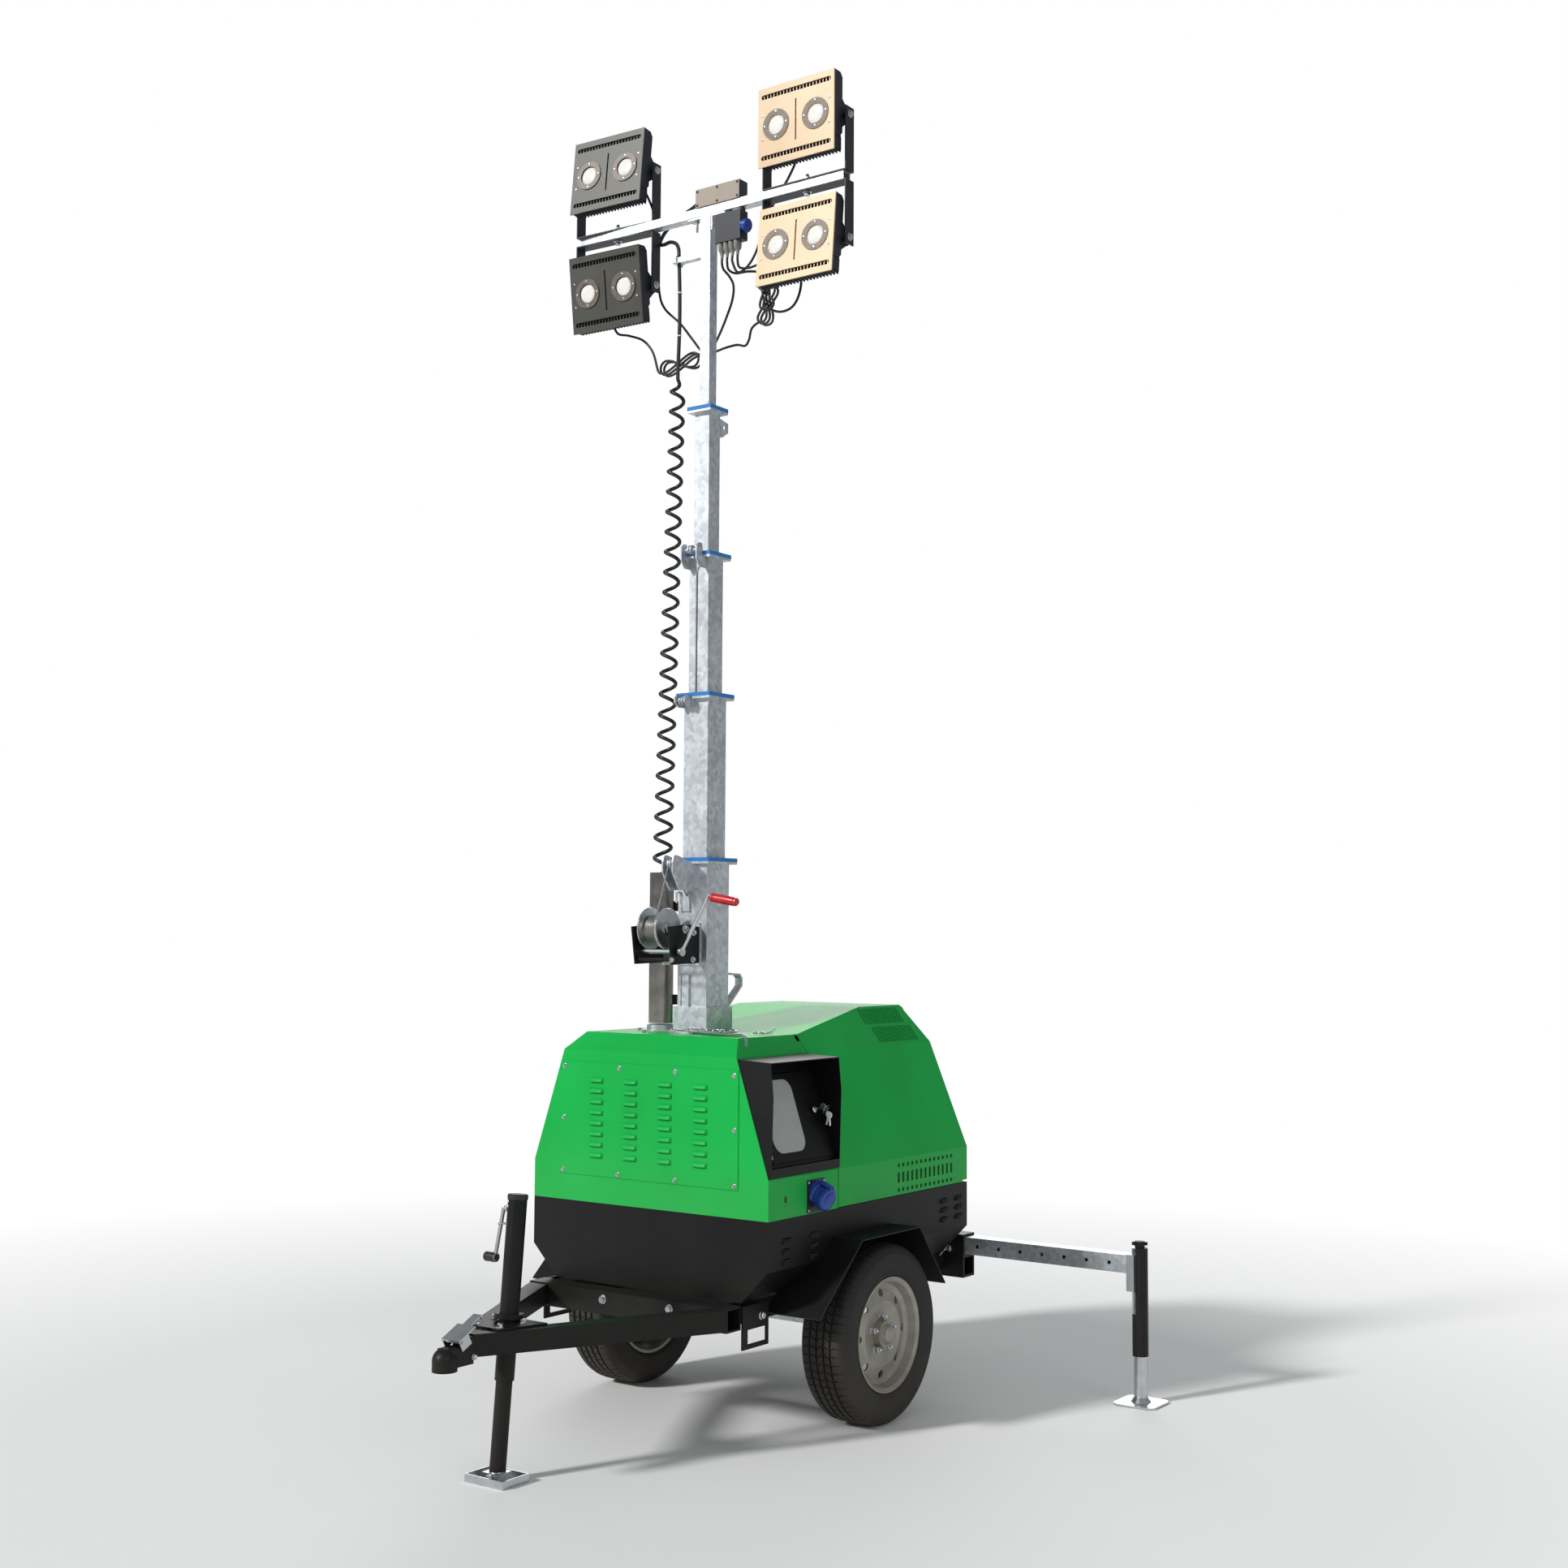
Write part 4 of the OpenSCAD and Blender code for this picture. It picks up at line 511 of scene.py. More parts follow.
for which in lamps:
    name, side, body = which[0], which[1], which[5]
    route = leadRoutes[name]
    pivot, turn = lampFrame(*which[1:5])
    gland = pivot + turn @ np.array([-side * 60, -10, 0])
    behind = [pivot + turn @ np.array([-side * 60, y, 0]) for y in (8, 26)]
    end = [(route["plug"], -279, 3846), (route["plug"], -279, 3868), (route["plug"], -279, 3888)]
    middle = hankPoints(route["hank"]).tolist() if route["hank"] else []
    if route["hank"]:
        # tie round the crossings of the eight
        h, deep = route["hank"], (leadSize + 1) * (route["hank"]["loops"] * 2 - 1) / 2
        middleOfTie = spot(np.asarray(h["centre"], float) + np.array([0, deep + 4.75, 0]))
        tieWay = np.asarray(h["up"], float) / np.linalg.norm(h["up"])
        addPiece("hank_tie_" + name, [wireRing(middleOfTie + shift * spot(h["along"]) * 0.001, tieWay, (0, 1, 0), 0.0085, deep / 1000 + 0.0072, 0.0014) for shift in (-2, 0, 2)], "head", made["blackGrip"], 60)
    line = spot(smoothLine([gland, *behind, *route["points"], *middle, *route["after"], *end], 9))
    lead = addPiece("lead_" + name + "_cable", [tube(line, leadSize / 2000, 10)], "head", made["cableSheath"], 80, ride=False)
    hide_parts("lead_" + name)
    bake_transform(lead)
cordTies = [ringOf(0.0062, 0.0082, -0.0022, 0.0022, spot((curly["top"][0] + 5, curly["top"][1], z)), (0, 0, 1), 20) for z in (3786, 3634)]
addPiece("cord_ties", cordTies, "head", made["whiteTie"], 60)
print("cords laid")

# ---- floor, light and backdrop
# each sun: the direction it shines from, its strength and its softness in radians
studio = {"key": ((-0.34, -0.80, 0.50), 2.5, 0.12), "side": ((0.85, -0.35, 0.38), 0.36, 0.5), "back": ((-0.5, 0.8, 0.45), 0.7, 0.5), "worldLevel": 0.34}


def addLight(name, toward, strength, softness):
    data = bpy.data.lights.new(name, "SUN")
    data.energy, data.angle = strength, softness
    holder = bpy.data.objects.new(name, data)
    bpy.context.scene.collection.objects.link(holder)
    u, v, w = basis(np.asarray(toward, float))
    pose = np.eye(4)
    pose[:3, 0], pose[:3, 1], pose[:3, 2] = u, v, w
    pose[:3, 3] = w * 12
    holder.matrix_world = Matrix(pose.tolist())


for lightName in ("key", "side", "back"):
    addLight(lightName, *studio[lightName])


def makeBackdrop():
    world = bpy.data.worlds.new("studio")
    bpy.context.scene.world = world
    world.use_nodes = True
    tree = world.node_tree
    tree.nodes.clear()
    ray = addNode(tree, "ShaderNodeLightPath")
    seen = addNode(tree, "ShaderNodeMath", {"operation": "MAXIMUM"}, {0: ray.outputs["Is Camera Ray"], 1: ray.outputs["Is Transmission Ray"]})
    dim = addNode(tree, "ShaderNodeBackground", {"Color": linear("#EDF1F6"), "Strength": studio["worldLevel"]})
    white = addNode(tree, "ShaderNodeBackground", {"Color": (1, 1, 1, 1), "Strength": 1.0})
    both = addNode(tree, "ShaderNodeMixShader", {}, {0: seen.outputs[0], 1: dim.outputs[0], 2: white.outputs[0]})
    addNode(tree, "ShaderNodeOutputWorld", {}, {"Surface": both.outputs[0]})
    floorMaterial = bpy.data.materials.new("paleFloor")
    floorMaterial.use_nodes = True
    tree = floorMaterial.node_tree
    tree.nodes.clear()
    place = addNode(tree, "ShaderNodeTexCoord").outputs["Object"]
    far = addNode(tree, "ShaderNodeVectorMath", {"operation": "LENGTH"}, {0: place})
    fade = addNode(tree, "ShaderNodeMapRange", {1: 2.2, 2: 5.5}, {0: far.outputs["Value"]})
    ray = addNode(tree, "ShaderNodeLightPath")
    seen = addNode(tree, "ShaderNodeMath", {"operation": "MULTIPLY"}, {0: ray.outputs["Is Camera Ray"], 1: fade.outputs[0]})
    pale = addNode(tree, "ShaderNodeBsdfDiffuse", {"Color": linear("#F3F3F1")})
    glow = addNode(tree, "ShaderNodeEmission", {"Color": (1, 1, 1, 1), "Strength": 1.0})
    both = addNode(tree, "ShaderNodeMixShader", {}, {0: seen.outputs[0], 1: pale.outputs[0], 2: glow.outputs[0]})
    addNode(tree, "ShaderNodeOutputMaterial", {}, {"Surface": both.outputs[0]})
    mesh = bpy.data.meshes.new("floor")
    mesh.from_pydata([(-30, -30, 0), (30, -30, 0), (30, 30, 0), (-30, 30, 0)], [], [(0, 1, 2, 3)])
    mesh.materials.append(floorMaterial)
    floor = bpy.data.objects.new("floor", mesh)
    bpy.context.scene.collection.objects.link(floor)


makeBackdrop()
bpy.context.scene.view_settings.view_transform = "Standard"
print("floor and lights placed")

# ---- tyres: sidewall with its ribs, four grooves round the tread and sipes across its blocks
tyre = {"radius": 287.5, "half": 86, "middle": 492, "pitches": 68, "sipe": 5.0, "groove": 7.0,
        "side": [(176.6, 56), (184.5, 74), (190, 79), (196, 81.5), (198, 83.2), (201, 83.2), (203, 82.4), (212, 84), (232.5, 86), (245, 85.6),
                 (252, 84.9), (254, 85.9), (257, 85.8), (259, 84.6), (265.5, 81.5), (272, 78), (279, 72.5), (283.2, 66), (285.4, 59)],
        "blocks": [(52, 43.2), (34.8, 17.2), (8.8, -8.8), (-17.2, -34.8), (-43.2, -52)]}


def makeTyre(side, body, nodeName):
    # radius and width of each point of the section, carried round the axle; at a sipe the blocks dip
    t = tyre
    section, onBlock, lean = [], [], []
    for q in t["side"]:
        section.append(q); onBlock.append(0); lean.append(0)
    for k, (a, b) in enumerate(t["blocks"]):
        if k:
            section += [(t["radius"] - t["groove"], t["blocks"][k - 1][1] - 0.9), (t["radius"] - t["groove"], a + 0.9)]
            onBlock += [0, 0]; lean += [0, 0]
        for x in np.linspace(a, b, 4):
            section.append((t["radius"] - 1.4 * (x / 60) ** 2, x))
            onBlock.append(1); lean.append((0.9 if k % 2 else -0.9) * (x - (a + b) / 2) / 17)
    for q in reversed(t["side"]):
        section.append((q[0], -q[1])); onBlock.append(0); lean.append(0)
    section, onBlock, lean = np.array(section), np.array(onBlock, float), np.radians(np.array(lean) * 2.0)
    shoulder = np.clip((np.abs(section[:, 1]) - 57) / 3, 0, 1) * (section[:, 0] > 278)
    step = 2 * math.pi / t["pitches"]
    within = np.array([0, 0.045, 0.13, 0.175, 0.45, 0.72]) * step
    cut = np.array([0, 1, 1, 0, 0, 0.0])
    angles = (np.arange(t["pitches"])[:, None] * step + within[None]).ravel()
    cuts = np.tile(cut, t["pitches"])
    radius = section[:, 0][None] - cuts[:, None] * (onBlock * t["sipe"] + shoulder * 2.2)[None]
    turn = angles[:, None] + lean[None]
    across = np.broadcast_to(section[:, 1], radius.shape) * side + side * t["middle"]
    rings = np.stack([across, radius * np.cos(turn), t["radius"] + radius * np.sin(turn)], axis=-1)
    piece = addPiece(nodeName + "_tread", [skin(spot(rings.reshape(-1, 3)).reshape(rings.shape), looped=True)], body, made["tyreRubber"], 28)
    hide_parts(nodeName)


makeTyre(1, "wheel_right", "tyre_right")
makeTyre(-1, "wheel_left", "tyre_left")
print("tyres made")

# ---- wheel nuts and grease cap
hub = {"nutCircle": 56, "nuts": 5, "nutAcross": 19, "face": 492 + 86 - 44, "boss": 492 + 86 - 20}
for side, body, sideName in ((1, "wheel_right", "right"), (-1, "wheel_left", "left")):
    nuts = []
    for k in range(hub["nuts"]):
        a = 2 * math.pi * k / hub["nuts"] + 0.3
        centre = spot((side * (hub["face"] + 0.5), hub["nutCircle"] * math.cos(a), tyre["radius"] + hub["nutCircle"] * math.sin(a)))
        nuts += hexBolt(centre, (side, 0, 0), 0.019, 0.016, 0.0125)
        nuts.append(lathe([(0.006, 0.0), (0.006, 0.024), (0.0045, 0.0255)], centre, (side, 0, 0), 16))
    addPiece("wheel_nuts_" + sideName, nuts, body, made["platedZinc"])
    cap = lathe([(0.034, -0.001), (0.034, 0.004), (0.031, 0.006), (0.029, 0.014), (0.024, 0.0195), (0.013, 0.022), (0.002, 0.0225)],
                spot((side * hub["boss"], 0, tyre["radius"])), (side, 0, 0), 40)
    addPiece("grease_cap_" + sideName, [cap], body, made["wheelEnamel"])

# ---- lamps: frosted windows in screwed flanges, pins, plate screws and the gland behind
frosted = finish("frostedLensGlass", {"tones": ("#EDEAE2", "#F6F4EE"), "patch": 0.02, "rough": (0.08, 0.16), "grain": 0.002, "bump": 0.03, "shader": {"IOR": 1.5, "Coat Weight": 0.6}})
for which in lamps:
    name, side, up, tilt, yaw, body = which
    sunny = side > 0
    pivot, turn = lampFrame(side, up, tilt, yaw)
    out = turn @ np.array([0, -1.0, 0])
    plateBack = spot(pivot) - (lamp["front"] + 5.4) / 1000 * out
    dressNode("lamp_" + name, finish("coatedLamp_" + name, looks["greyLampCoat"], looks["sunlitPlate" if sunny else "shadedPlate"], planeMask, (plateBack, -out)))
    windows, rings, screws = [], [], []
    for s in (-1, 1):
        middle = inLamp(which, (s * lamp["lens"], lamp["front"] + 5.2, 0))
        windows.append(lathe([(0.0324, -0.0003), (0.0324, 0.003), (0.030, 0.0042), (0.022, 0.0058), (0.012, 0.0067), (0.001, 0.007)], middle, out, 48))
        rings.append(ringOf(0.0335, 0.0515, 0.0081, 0.0091, middle, out, 56))
        for k in range(4):
            a = k * math.pi / 2
            c = inLamp(which, (s * lamp["lens"] + 43 * math.cos(a), lamp["front"] - 3.9, 43 * math.sin(a)))
            screws.append(lathe([(0.0042, -0.0006), (0.0042, 0.0012), (0.003, 0.0026), (0.0008, 0.003)], c, out, 16))
        for z in (-41, 41):
            c = inLamp(which, (s * 134, lamp["front"], z))
            screws.append(lathe([(0.0040, -0.0004), (0.0040, 0.0012), (0.003, 0.0024), (0.0008, 0.0028)], c, out, 16))
        pin = inLamp(which, (s * 168, 0, 0))
        sideways = turn @ np.array([float(s), 0, 0])
        screws += hexBolt(pin + 0.0005 * sideways, sideways, 0.017, 0.0075, 0.0135)
    addPiece("lamp_windows_" + name, windows, body, frosted)
    addPiece("lamp_rings_" + name, rings, body, made["lensFlange"])
    addPiece("lamp_screws_" + name, screws, body, made["platedZinc"])
    boot = lathe([(0.0125, 0.0), (0.0125, 0.006), (0.0095, 0.009), (0.0075, 0.016), (0.0056, 0.028)], inLamp(which, (-side * 60, -14, 0)), -out, 20)
    addPiece("gland_boot_" + name, [boot], body, made["cableSheath"])
print("lamps trimmed")

# ---- front panel: one sheet with a slot behind each pressed louvre, and ten bolts
front = {"back": -550, "face": -553, "half": 366, "low": 789, "high": 1156, "columns": (-212, -69, 73, 216), "first": 862, "step": 34.6, "rows": 8, "wide": 29,
         "deep": 10, "tall": 13, "bolts": ((350, 1139), (116, 1140), (352, 971), (352, 801), (118, 801))}
slots = [(x, front["first"] + i * front["step"]) for x in front["columns"] for i in range(front["rows"])]
xCuts = sorted({-front["half"], front["half"], *(x + e for x in front["columns"] for e in (-27, 27))})
zCuts = sorted({front["low"], front["high"], *(z + e for _, z in slots for e in (-11, 1))})
isSlot = lambda x, z: any(abs(x - a) < 27 and b - 11 < z < b + 1 for a, b in slots)
sheetPoints, sheetFaces = pierced(xCuts, zCuts, isSlot, front["back"] + 0.5, front["face"])
hoods = [hood(spot((x, front["face"] + 0.3, z)), (1, 0, 0), (0, 0, 1), front["wide"] / 1000, front["deep"] / 1000, front["tall"] / 1000) for x, z in slots]
louvres = addPiece("louvred_panel", [(spot(sheetPoints), sheetFaces)] + hoods, "chassis", made["greenPowderCoat"], 40)
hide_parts("louvre_panel")
bolts = []
for x, z in front["bolts"]:
    for s in (-1, 1):
        bolts += hexBolt(spot((s * x, front["face"], z)), (0, -1, 0), 0.010, 0.0055, 0.0078)
addPiece("panel_bolts", bolts, "chassis", made["platedZinc"])
print("front panel made")

# ---- dark sheets inside the hood's vents and behind the louvres: painted shade, so that the openings read dark
ventShadeSheets = []
for s in (-1, 1):
    inner, outer = sorted((s * 476.2, s * 477.2))
    ventShadeSheets.append(brick(spot((inner, 190, 713)), spot((outer, 572, 812)), 0))
    ventShadeSheets.append(slab(rounded(0.148, 0.300, 0.002), -0.0036, -0.0026, spot((s * 306.8, 414, 1259.6)), (-s * 0.6, 0, 0.8), (0, 1, 0), (s * 0.8, 0, 0.6)))
addPiece("hood_vent_shade", ventShadeSheets, "hood", made["blackGrip"])
addPiece("intake_shade_sheet", [brick(spot((-300, -530, 840)), spot((300, -527, 1140)), 0.0005)], "chassis", made["blackGrip"])

# ---- sides of the enclosure: hoods over the slots of the tub, inlet, drain hole
tubSlots = [(y + 20, z) for y0, z0, step in ((-472, 572, 150), (472, 590, 99)) for y in (y0, y0 + step) for z in (z0 + 4, z0 + 36, z0 + 68)]
tubHoods = [hood(spot((s * 480.8, y, z)), (0, s, 0), (0, 0, 1), 0.023, 0.008, 0.015) for s in (-1, 1) for y, z in tubSlots]
addPiece("tub_hoods", tubHoods, "chassis", made["blackPowderCoat"], 40)

inlet = {"plateY": (-345, -247), "plateZ": (706, 808), "centre": (484, -294, 763), "axis": (0.93, -0.06, -0.36)}
plate = slab(rounded(0.098, 0.102, 0.004), 0, 0.003, spot((481, -296, 757)), (0, 1, 0), (0, 0, 1), (1, 0, 0), 0.0008)
screws = [part for y in (-337, -255) for z in (714, 800) for part in [lathe([(0.0045, 0), (0.0045, 0.0015), (0.0028, 0.003), (0.0006, 0.0034)], spot((484, y, z)), (1, 0, 0), 16)]]
addPiece("inlet_plate", [plate], "chassis", made["blackPolycarbonate"])
addPiece("inlet_screws", screws, "chassis", made["platedZinc"])
socket = lathe([(0.040, -0.012), (0.040, 0.006), (0.034, 0.010), (0.033, 0.030), (0.0355, 0.033)], spot(inlet["centre"]), inlet["axis"], 40)
lid = lathe([(0.0375, 0.0335), (0.0385, 0.036), (0.0385, 0.046), (0.036, 0.050), (0.029, 0.0525), (0.027, 0.0515), (0.002, 0.0515)], spot(inlet["centre"]), inlet["axis"], 40)
hinge = slab(rounded(0.022, 0.014, 0.003), 0.006, 0.050, spot(inlet["centre"]) + np.array([0.013, 0, 0.038]), (0, 1, 0), (-0.36, 0, 0.93), (0.93, 0, -0.36), 0.001)
addPiece("inlet_socket", [socket, lid, hinge], "chassis", made["bluePlastic"])
hole = slab(rounded(0.012, 0.021, 0.0058), -0.001, 0.0007, spot((481, -459, 761)), (0, 1, 0), (0, 0, 1), (1, 0, 0), 0.0002)
drain = lathe([(0.002, -0.001), (0.002, 0.0007)], spot((481, -461, 741)), (1, 0, 0), 14)
addPiece("drain_grommet", [hole, drain], "chassis", made["blackGrip"])

# ---- control door: rosette, two keys on a ring, bright hinge sleeves
slope = {"x": 481, "z": 827, "lean": math.atan2(125, 367)}


def onSlope(x, y, z):
    # x stands out from the sloping wall and z climbs it
    c, t = math.cos(slope["lean"]), math.sin(slope["lean"])
    return spot((slope["x"] + x * c - z * t, y, slope["z"] + x * t + z * c))


wallOut = np.array([math.cos(slope["lean"]), 0, math.sin(slope["lean"])])
lock = onSlope(18, -236, 196)
rosette = lathe([(0.011, -0.002), (0.011, 0.0015), (0.0085, 0.003), (0.0075, 0.005), (0.001, 0.0055)], lock, wallOut, 28)
blade = slab(rounded(0.007, 0.024, 0.002), -0.0009, 0.0009, lock + 0.014 * wallOut, (0, 0, 1), wallOut, (0, 1, 0), 0.0003)
bow = ringOf(0.0035, 0.0115, -0.0009, 0.0009, lock + 0.034 * wallOut, (0, 1, 0), 24)
ringCentre = lock + 0.036 * wallOut + np.array([0, 0.014, -0.011])
ring = wireRing(ringCentre, (0.15, 0.8, 0.58), (0.55, -0.55, 0.62), 0.0165, 0.0165, 0.0009, 28, 6)
hanging = []
for k, (dy, lean) in enumerate(((0.030, 0.10), (0.024, -0.35))):
    top = ringCentre + np.array([0, dy - 0.010, -0.020 + 0.003 * k])
    down = np.array([0, math.sin(lean), -math.cos(lean)])
    across = np.array([0.35, math.cos(lean) * 0.94, math.sin(lean) * 0.94])
    across = across - (across @ down) * down
    across = across / np.linalg.norm(across)
    hanging.append(ringOf(0.0035, 0.0105, -0.0009, 0.0009, top, np.cross(across, down), 24))
    hanging.append(slab(rounded(0.0068, 0.026, 0.002), -0.0009, 0.0009, top + 0.021 * down, across, down, np.cross(across, down), 0.0003))
addPiece("door_lock_and_keys", [rosette, blade, bow, ring] + hanging, "door", made["platedZinc"])
sleeves = [lathe([(0.0056, 0.0), (0.0056, 0.044)], onSlope(10, -520, z + 1), np.array([-math.sin(slope["lean"]), 0, math.cos(slope["lean"])]), 20) for z in (60, 250)]
addPiece("door_hinge_sleeves", sleeves, "door", made["platedZinc"])
print("control side dressed")

# ---- drawbar, coupler and nose jack
frameBolts = []
for centre, axis in (((-89, -652, 423), (0, -1, 0)), ((181, -652, 425), (0, -1, 0)), ((408, -482, 406), (1, 0, 0)), ((-408, -482, 406), (-1, 0, 0)),
                     ((30, -1344, 381), (1, 0, 0)), ((-30, -1344, 381), (-1, 0, 0))):
    wide = 0.019 if abs(centre[0]) > 35 else 0.013
    frameBolts += hexBolt(spot(centre), axis, wide, wide * 0.5, wide * 0.72)
for x, y in ((50, -1262), (-50, -1262), (58, -1172), (-58, -1172)):
    frameBolts += hexBolt(spot((x, y, 451)), (0, 0, 1), 0.016, 0.010, 0.0125)
addPiece("frame_bolts", frameBolts, "chassis", made["platedZinc"])
jackAxis = np.array([0, math.sin(math.radians(5)), math.cos(math.radians(5))])


def onJack(x, y, along):
    # along climbs the leaning tube of the nose jack
    return spot((x, -1213 + y, 0)) + along / 1000 * jackAxis


cap = lathe([(0.0295, -0.002), (0.0305, 0.001), (0.0305, 0.010), (0.028, 0.0135), (0.010, 0.0155), (0.001, 0.0155)], onJack(0, 0, 802), jackAxis, 40)
addPiece("jack_cap", [cap], "chassis", made["blackGrip"])
rivets = [lathe([(0.0045, -0.001), (0.0045, 0.0008), (0.003, 0.0024), (0.0006, 0.0030)], onJack(-14, -24.6, z), (-0.5, -0.86, 0), 16) for z in (796, 782)]
rivets += hexBolt(onJack(-28, 0, 772), (-1, 0, 0), 0.022, 0.010, 0.015)
rivets.append(lathe([(0.003, 0.001), (0.003, 0.028), (0.0022, 0.030)], onJack(-10, -26, 733), (-0.35, -0.93, 0.05), 14))
addPiece("jack_rivets", rivets, "chassis", made["platedZinc"])
grip = lathe([(0.0105, 0.0), (0.0140, 0.003), (0.0146, 0.010), (0.0138, 0.025), (0.0146, 0.038), (0.0135, 0.0435), (0.009, 0.0445)], onJack(-65.8, 0, 626), (-1, 0, 0), 32)
addPiece("jack_grip", [grip], "chassis", made["blackGrip"])
gripEnd = lathe([(0.0075, 0.0), (0.0075, 0.0015), (0.005, 0.003), (0.001, 0.0034)], onJack(-110.2, 0, 626), (-1, 0, 0), 20)
addPiece("jack_grip_end", [gripEnd], "chassis", made["platedZinc"])
footBolt = hexBolt(spot((0, -1243, 18)), (0, -1, 0), 0.015, 0.009, 0.011)
addPiece("jack_foot_bolt", footBolt, "nose_leg", made["platedZinc"])
print("drawbar dressed")

# ---- outriggers: clamping screws on the receiver
clamps = []
for s in (-1, 1):
    for y, out in ((707.5, -1), (786.5, 1)):
        z = 452 if s > 0 else 378
        nut = spot((s * 376, y, z))
        clamps += hexBolt(nut, (0, out, 0), 0.022, 0.011, 0.0)
        if out < 0:
            clamps.append(lathe([(0.006, 0.0), (0.006, 0.046), (0.005, 0.048)], nut, (0, out, 0), 20))
            clamps.append(lathe([(0.0035, -0.026), (0.0042, -0.022), (0.0042, 0.022), (0.0035, 0.026)], nut + np.array([0, out * 0.042, 0]), (0.62, 0, 0.78), 16))
addPiece("receiver_clamps", clamps, "chassis", made["platedZinc"])

# ---- winch: ring gear, wound rope, pawl, nuts and the red grip
winch = {"drum": (-408, 1592), "shaft": (-445, 1518), "gear": (-43, -34), "teeth": 58, "root": 62.5, "tip": 68.5, "rope": 2.6, "wound": (-104, -46), "core": 42.5}
angle = np.arange(winch["teeth"] * 4) * 2 * math.pi / (winch["teeth"] * 4)
radius = np.tile([winch["root"], winch["tip"], winch["tip"], winch["root"]], winch["teeth"]) / 1000
drumCentre = spot((0, *winch["drum"]))
gear = slab(np.stack([radius * np.cos(angle), radius * np.sin(angle)], axis=1), winch["gear"][0] / 1000, winch["gear"][1] / 1000, drumCentre, (0, 1, 0), (0, 0, 1), (1, 0, 0), 0.0006)
hubPlate = lathe([(0.026, 0), (0.026, 0.004), (0.019, 0.006), (0.019, 0.012), (0.001, 0.012)], drumCentre + np.array([-0.034, 0, 0]), (1, 0, 0), 32)
flange = lathe([(0.064, 0.0), (0.0695, 0.0004), (0.0705, 0.002), (0.0695, 0.0046), (0.066, 0.006)], drumCentre + np.array([-0.1125, 0, 0]), (1, 0, 0), 56)
addPiece("winch_gear", [gear, hubPlate, flange], "mast_base", made["platedZinc"], 30)
turns = (winch["wound"][1] - winch["wound"][0]) / (2 * winch["rope"])
t = np.linspace(0, turns, int(turns * 26))
coilAngle = 2 * math.pi * t + math.pi
drumRope = spot(np.stack([winch["wound"][0] + 2 * winch["rope"] * t, winch["drum"][0] + winch["core"] * np.cos(coilAngle), winch["drum"][1] + winch["core"] * np.sin(coilAngle)], axis=1))
sheave = {"x": -6, "y": -425, "z": 1804, "radius": 20}
bend = np.linspace(math.pi, -0.1, 12)
overTop = [(sheave["x"], sheave["y"] + sheave["radius"] * math.cos(a), sheave["z"] + sheave["radius"] * math.sin(a)) for a in bend]
rise = spot(np.array([(-62, winch["drum"][0] - winch["core"], winch["drum"][1] - 4), (-60, winch["drum"][0] - winch["core"] - 0.4, winch["drum"][1] + 10), *overTop, (-8, -398, 1760), (-14, -350, 1716), (-18, -332, 1702)]))
addPiece("winch_rope", [tube(drumRope, winch["rope"] / 1000, 8), tube(rise, winch["rope"] / 1000, 8)], "mast_base", made["wireRope"], 80)
nuts = []
for y, z, wide in ((-408, 1592, 0.017), (-362, 1580, 0.013), (-478, 1492, 0.012), (-366, 1492, 0.013)):
    nuts += hexBolt(spot((35, y, z)), (1, 0, 0), wide, wide * 0.55, wide * 0.8)
for y, z in ((-408, 1592), (-445, 1518)):
    nuts += hexBolt(spot((-122, y, z)), (-1, 0, 0), 0.017, 0.009, 0.0135)
pawl = slab(np.array([(0, 0), (0.034, 0.006), (0.042, 0.016), (0.036, 0.018), (0.004, 0.012), (-0.006, 0.006)]), 0.0, 0.006, spot((-30, -388, 1508)), (0, -1, 0), (0, 0, 1), (1, 0, 0), 0.0008)
addPiece("winch_nuts", nuts + [pawl], "mast_base", made["platedZinc"])
gripStart, gripEnd = spot((84, -332.4, 1696.2)), spot((187, -327.2, 1679.8))
gripLine = gripEnd - gripStart
grip = lathe([(0.009, 0.0), (0.0135, 0.0015), (0.0152, 0.006), (0.0146, 0.02), (0.0156, 0.05), (0.0150, 0.088), (0.0136, 0.1015), (0.0095, 0.1065), (0.001, 0.108)], gripStart, gripLine, 36)
addPiece("winch_grip", [grip], "mast_base", made["redGrip"])
# the hoist rope of section four runs between sections two and three, and on down out of sight
stageRope = smoothLine([(-3.5, -331.5, 2862), (-4, -328, 2842), (-7, -312, 2802), (-8, -308.2, 2780), (-8, -308.2, 2700), (-8, -308.2, 1945)], 20)
addPiece("hoist_rope", [tube(spot(stageRope), 0.0022, 8)], "stage_3", made["wireRope"], 80)
print("winch dressed")

# ---- deck: flange round the mast, socket of the storage tube, chain, lever and bolts
deckZ = 1250
flange = ringOf(0.0932, 0.116, 0.0, 0.005, spot((0, -265, deckZ)), (0, 0, 1), 56)
seat = ringOf(0.0425, 0.0465, 0.0, 0.021, spot((-165, -283, deckZ)), (0, 0, 1), 48)
seatFoot = ringOf(0.0460, 0.058, 0.0, 0.004, spot((-165, -283, deckZ)), (0, 0, 1), 48)
deckBolts = []
for a in np.radians(np.arange(22.5, 360, 45)):
    deckBolts += hexBolt(spot((105 * math.cos(a), -265 + 105 * math.sin(a), deckZ + 5)), (0, 0, 1), 0.012, 0.007, 0.0)
for x, y in ((-215, -333), (-120, -424), (5, -432), (92, -450)):
    deckBolts += hexBolt(spot((x, y, deckZ)), (0, 0, 1), 0.013, 0.008, 0.010)
addPiece("deck_flange", [flange, seat, seatFoot], "chassis", made["galvanisedSteel"])
lever = smoothLine([(14, -366, 1255), (60, -382, 1256), (160, -408, 1256.5), (240, -424, 1256), (268, -432, 1256)], 14)
hook = smoothLine([(268, -432, 1256), (296, -440, 1257), (312, -446, 1250), (322, -456, 1236), (330, -470, 1222)], 6)
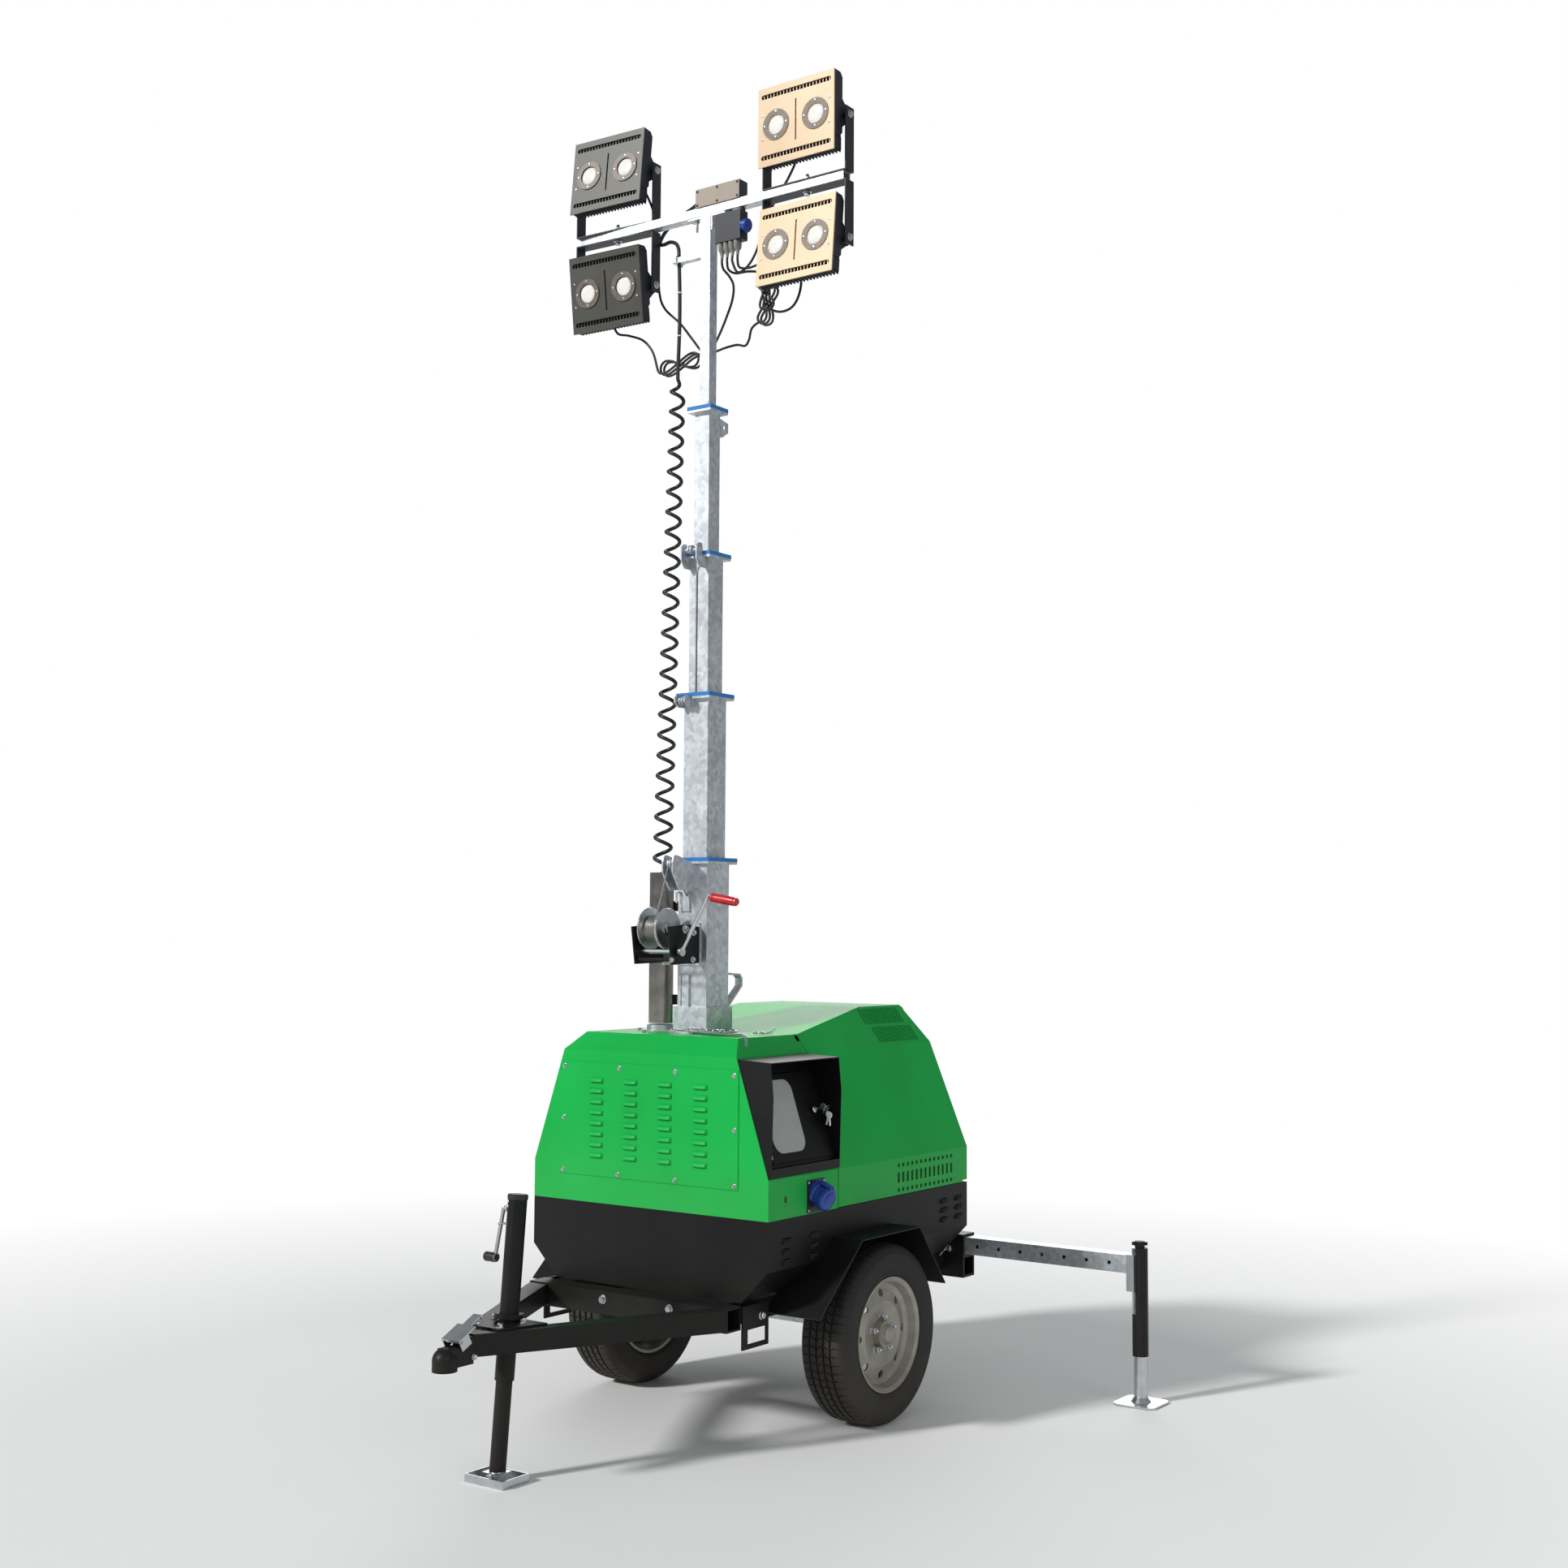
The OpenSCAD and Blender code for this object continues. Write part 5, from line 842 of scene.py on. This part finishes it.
leverParts = [tube(spot(lever), 0.0052, 12), tube(spot(hook), np.linspace(0.0052, 0.0062, len(hook)), 12)]
leverParts += hexBolt(spot((14, -366, 1250)), (0, 0, 1), 0.017, 0.014, 0.012)
addPiece("deck_lever", leverParts + deckBolts, "chassis", made["platedZinc"])


def chain(points, half, narrow, wire):
    # oval links along the line, every other one turned on its side
    line = smoothLine(points, half * 1.36)
    links = []
    for k in range(len(line) - 1):
        a, b = line[k], line[k + 1]
        along = (b - a) / np.linalg.norm(b - a)
        flat = np.cross([0, 0, 1], along)
        flat = flat / np.linalg.norm(flat)
        upright = np.cross(along, flat)
        side = flat * math.cos(0.6) + upright * math.sin(0.6) if k % 2 else upright * math.cos(0.75) - flat * math.sin(0.75)
        links.append(wireRing(spot((a + b) / 2), along, side, half / 1000, narrow / 1000, wire / 1000, 16, 7))
    return links


heap = [(18, -352, 1258), (30, -362, 1264), (46, -350, 1262), (60, -364, 1264), (78, -352, 1264), (92, -366, 1264), (110, -354, 1262), (124, -368, 1264), (142, -356, 1261), (158, -366, 1264),
        (168, -352, 1257), (150, -344, 1256), (120, -346, 1257), (88, -344, 1258), (60, -342, 1257), (36, -342, 1256)]
small = [(214, -268, 1255), (224, -262, 1256), (234, -270, 1256), (246, -262, 1255), (258, -268, 1257), (270, -262, 1256), (280, -256, 1262), (286, -250, 1270)]
addPiece("deck_chain", chain(heap, 9.5, 6.0, 2.1) + chain(small, 6.5, 4.2, 1.4), "chassis", made["platedZinc"], 60)
print("deck dressed")

# ---- head: plugs round the glands, the box's lid, cap and screws, clamp on the cord's arm, bracket and yoke bolts
for k, name in ((0, "lower_left"), (1, "upper_left"), (3, "lower_right"), (2, "upper_right")):
    x = 67 + 22 * k
    levels = [(-0.0235, 4.3, 5.2), (-0.014, 5.4, 6.4), (-0.006, 6.6, 8.6), (0.000, 9.2, 15.5), (0.004, 9.9, 17.5), (0.024, 10.4, 19.0), (0.0255, 9.6, 18.0)]
    turn = np.arange(28) * 2 * math.pi / 28
    rings = [spot((x, -279, 3888)) + np.stack([a / 1000 * np.cos(turn), b / 1000 * np.sin(turn), np.full(28, h)], axis=1) for h, a, b in levels]
    addPiece("plug_" + name, [skin(np.stack(rings))], "head", made["greyPlug"])
lid = slab(rounded(0.187, 0.064, 0.004), 0, 0.0025, spot((51.5, -287, 4092)), (1, 0, 0), (0, 0, 1), (0, -1, 0), 0.0008)
addPiece("box_lid", [lid], "head", made["sunlitLid"])
blueCap = lathe([(0.021, 0.0), (0.021, 0.012), (0.0235, 0.014), (0.0235, 0.020), (0.020, 0.0235), (0.001, 0.0245)], spot((158, -282, 3962)), (0.96, 0.0, -0.28), 32)
addPiece("blue_cap", [blueCap], "head", made["bluePlastic"])
boxScrews = [lathe([(0.0045, -0.0006), (0.0045, 0.0010), (0.0030, 0.0020), (0.0008, 0.0023)], spot((x, -289.5, z)), (0, -1, 0), 14) for x in (-34, 51, 137) for z in (4068, 4116)]
addPiece("box_screws", boxScrews, "head", made["blackGrip"])
headBolts = []
for x in (-52, 52):
    headBolts += hexBolt(spot((x, -265, 4023)), (0, 0, -1), 0.013, 0.008, 0.011)
    headBolts.append(lathe([(0.004, 0.0), (0.004, 0.032), (0.0032, 0.034)], spot((x, -265, 4018)), (0, 0, -1), 14))
    headBolts += hexBolt(spot((x, -265, 4060)), (0, 0, 1), 0.013, 0.007, 0.011)
for side in (-1, 1):
    for z, up in ((4064, 1), (4026, -1)):
        headBolts += hexBolt(spot((side * lamp["x"], -265, z)), (0, 0, up), 0.019, 0.011, 0.015)
    headBolts.append(lathe([(0.006, 0.0), (0.006, 0.020), (0.005, 0.022)], spot((side * lamp["x"], -265, 4064)), (0, 0, 1), 16))
clampPlate = brick(spot((-147, -281, 3888)), spot((-117, -249, 3891.5)), 0.0008)
clampBow = tube(spot(smoothLine([(-132, -279, 3889), (-132, -279, 3906), (-132, -275, 3914), (-132, -265, 3917), (-132, -255, 3914), (-132, -251, 3906), (-132, -251, 3889)], 3)), 0.0026, 10)
for y in (-279, -251):
    headBolts += hexBolt(spot((-132, y, 3888)), (0, 0, -1), 0.009, 0.006, 0.0075)
addPiece("head_bolts", headBolts + [clampPlate, clampBow], "head", made["platedZinc"])
print("head dressed")
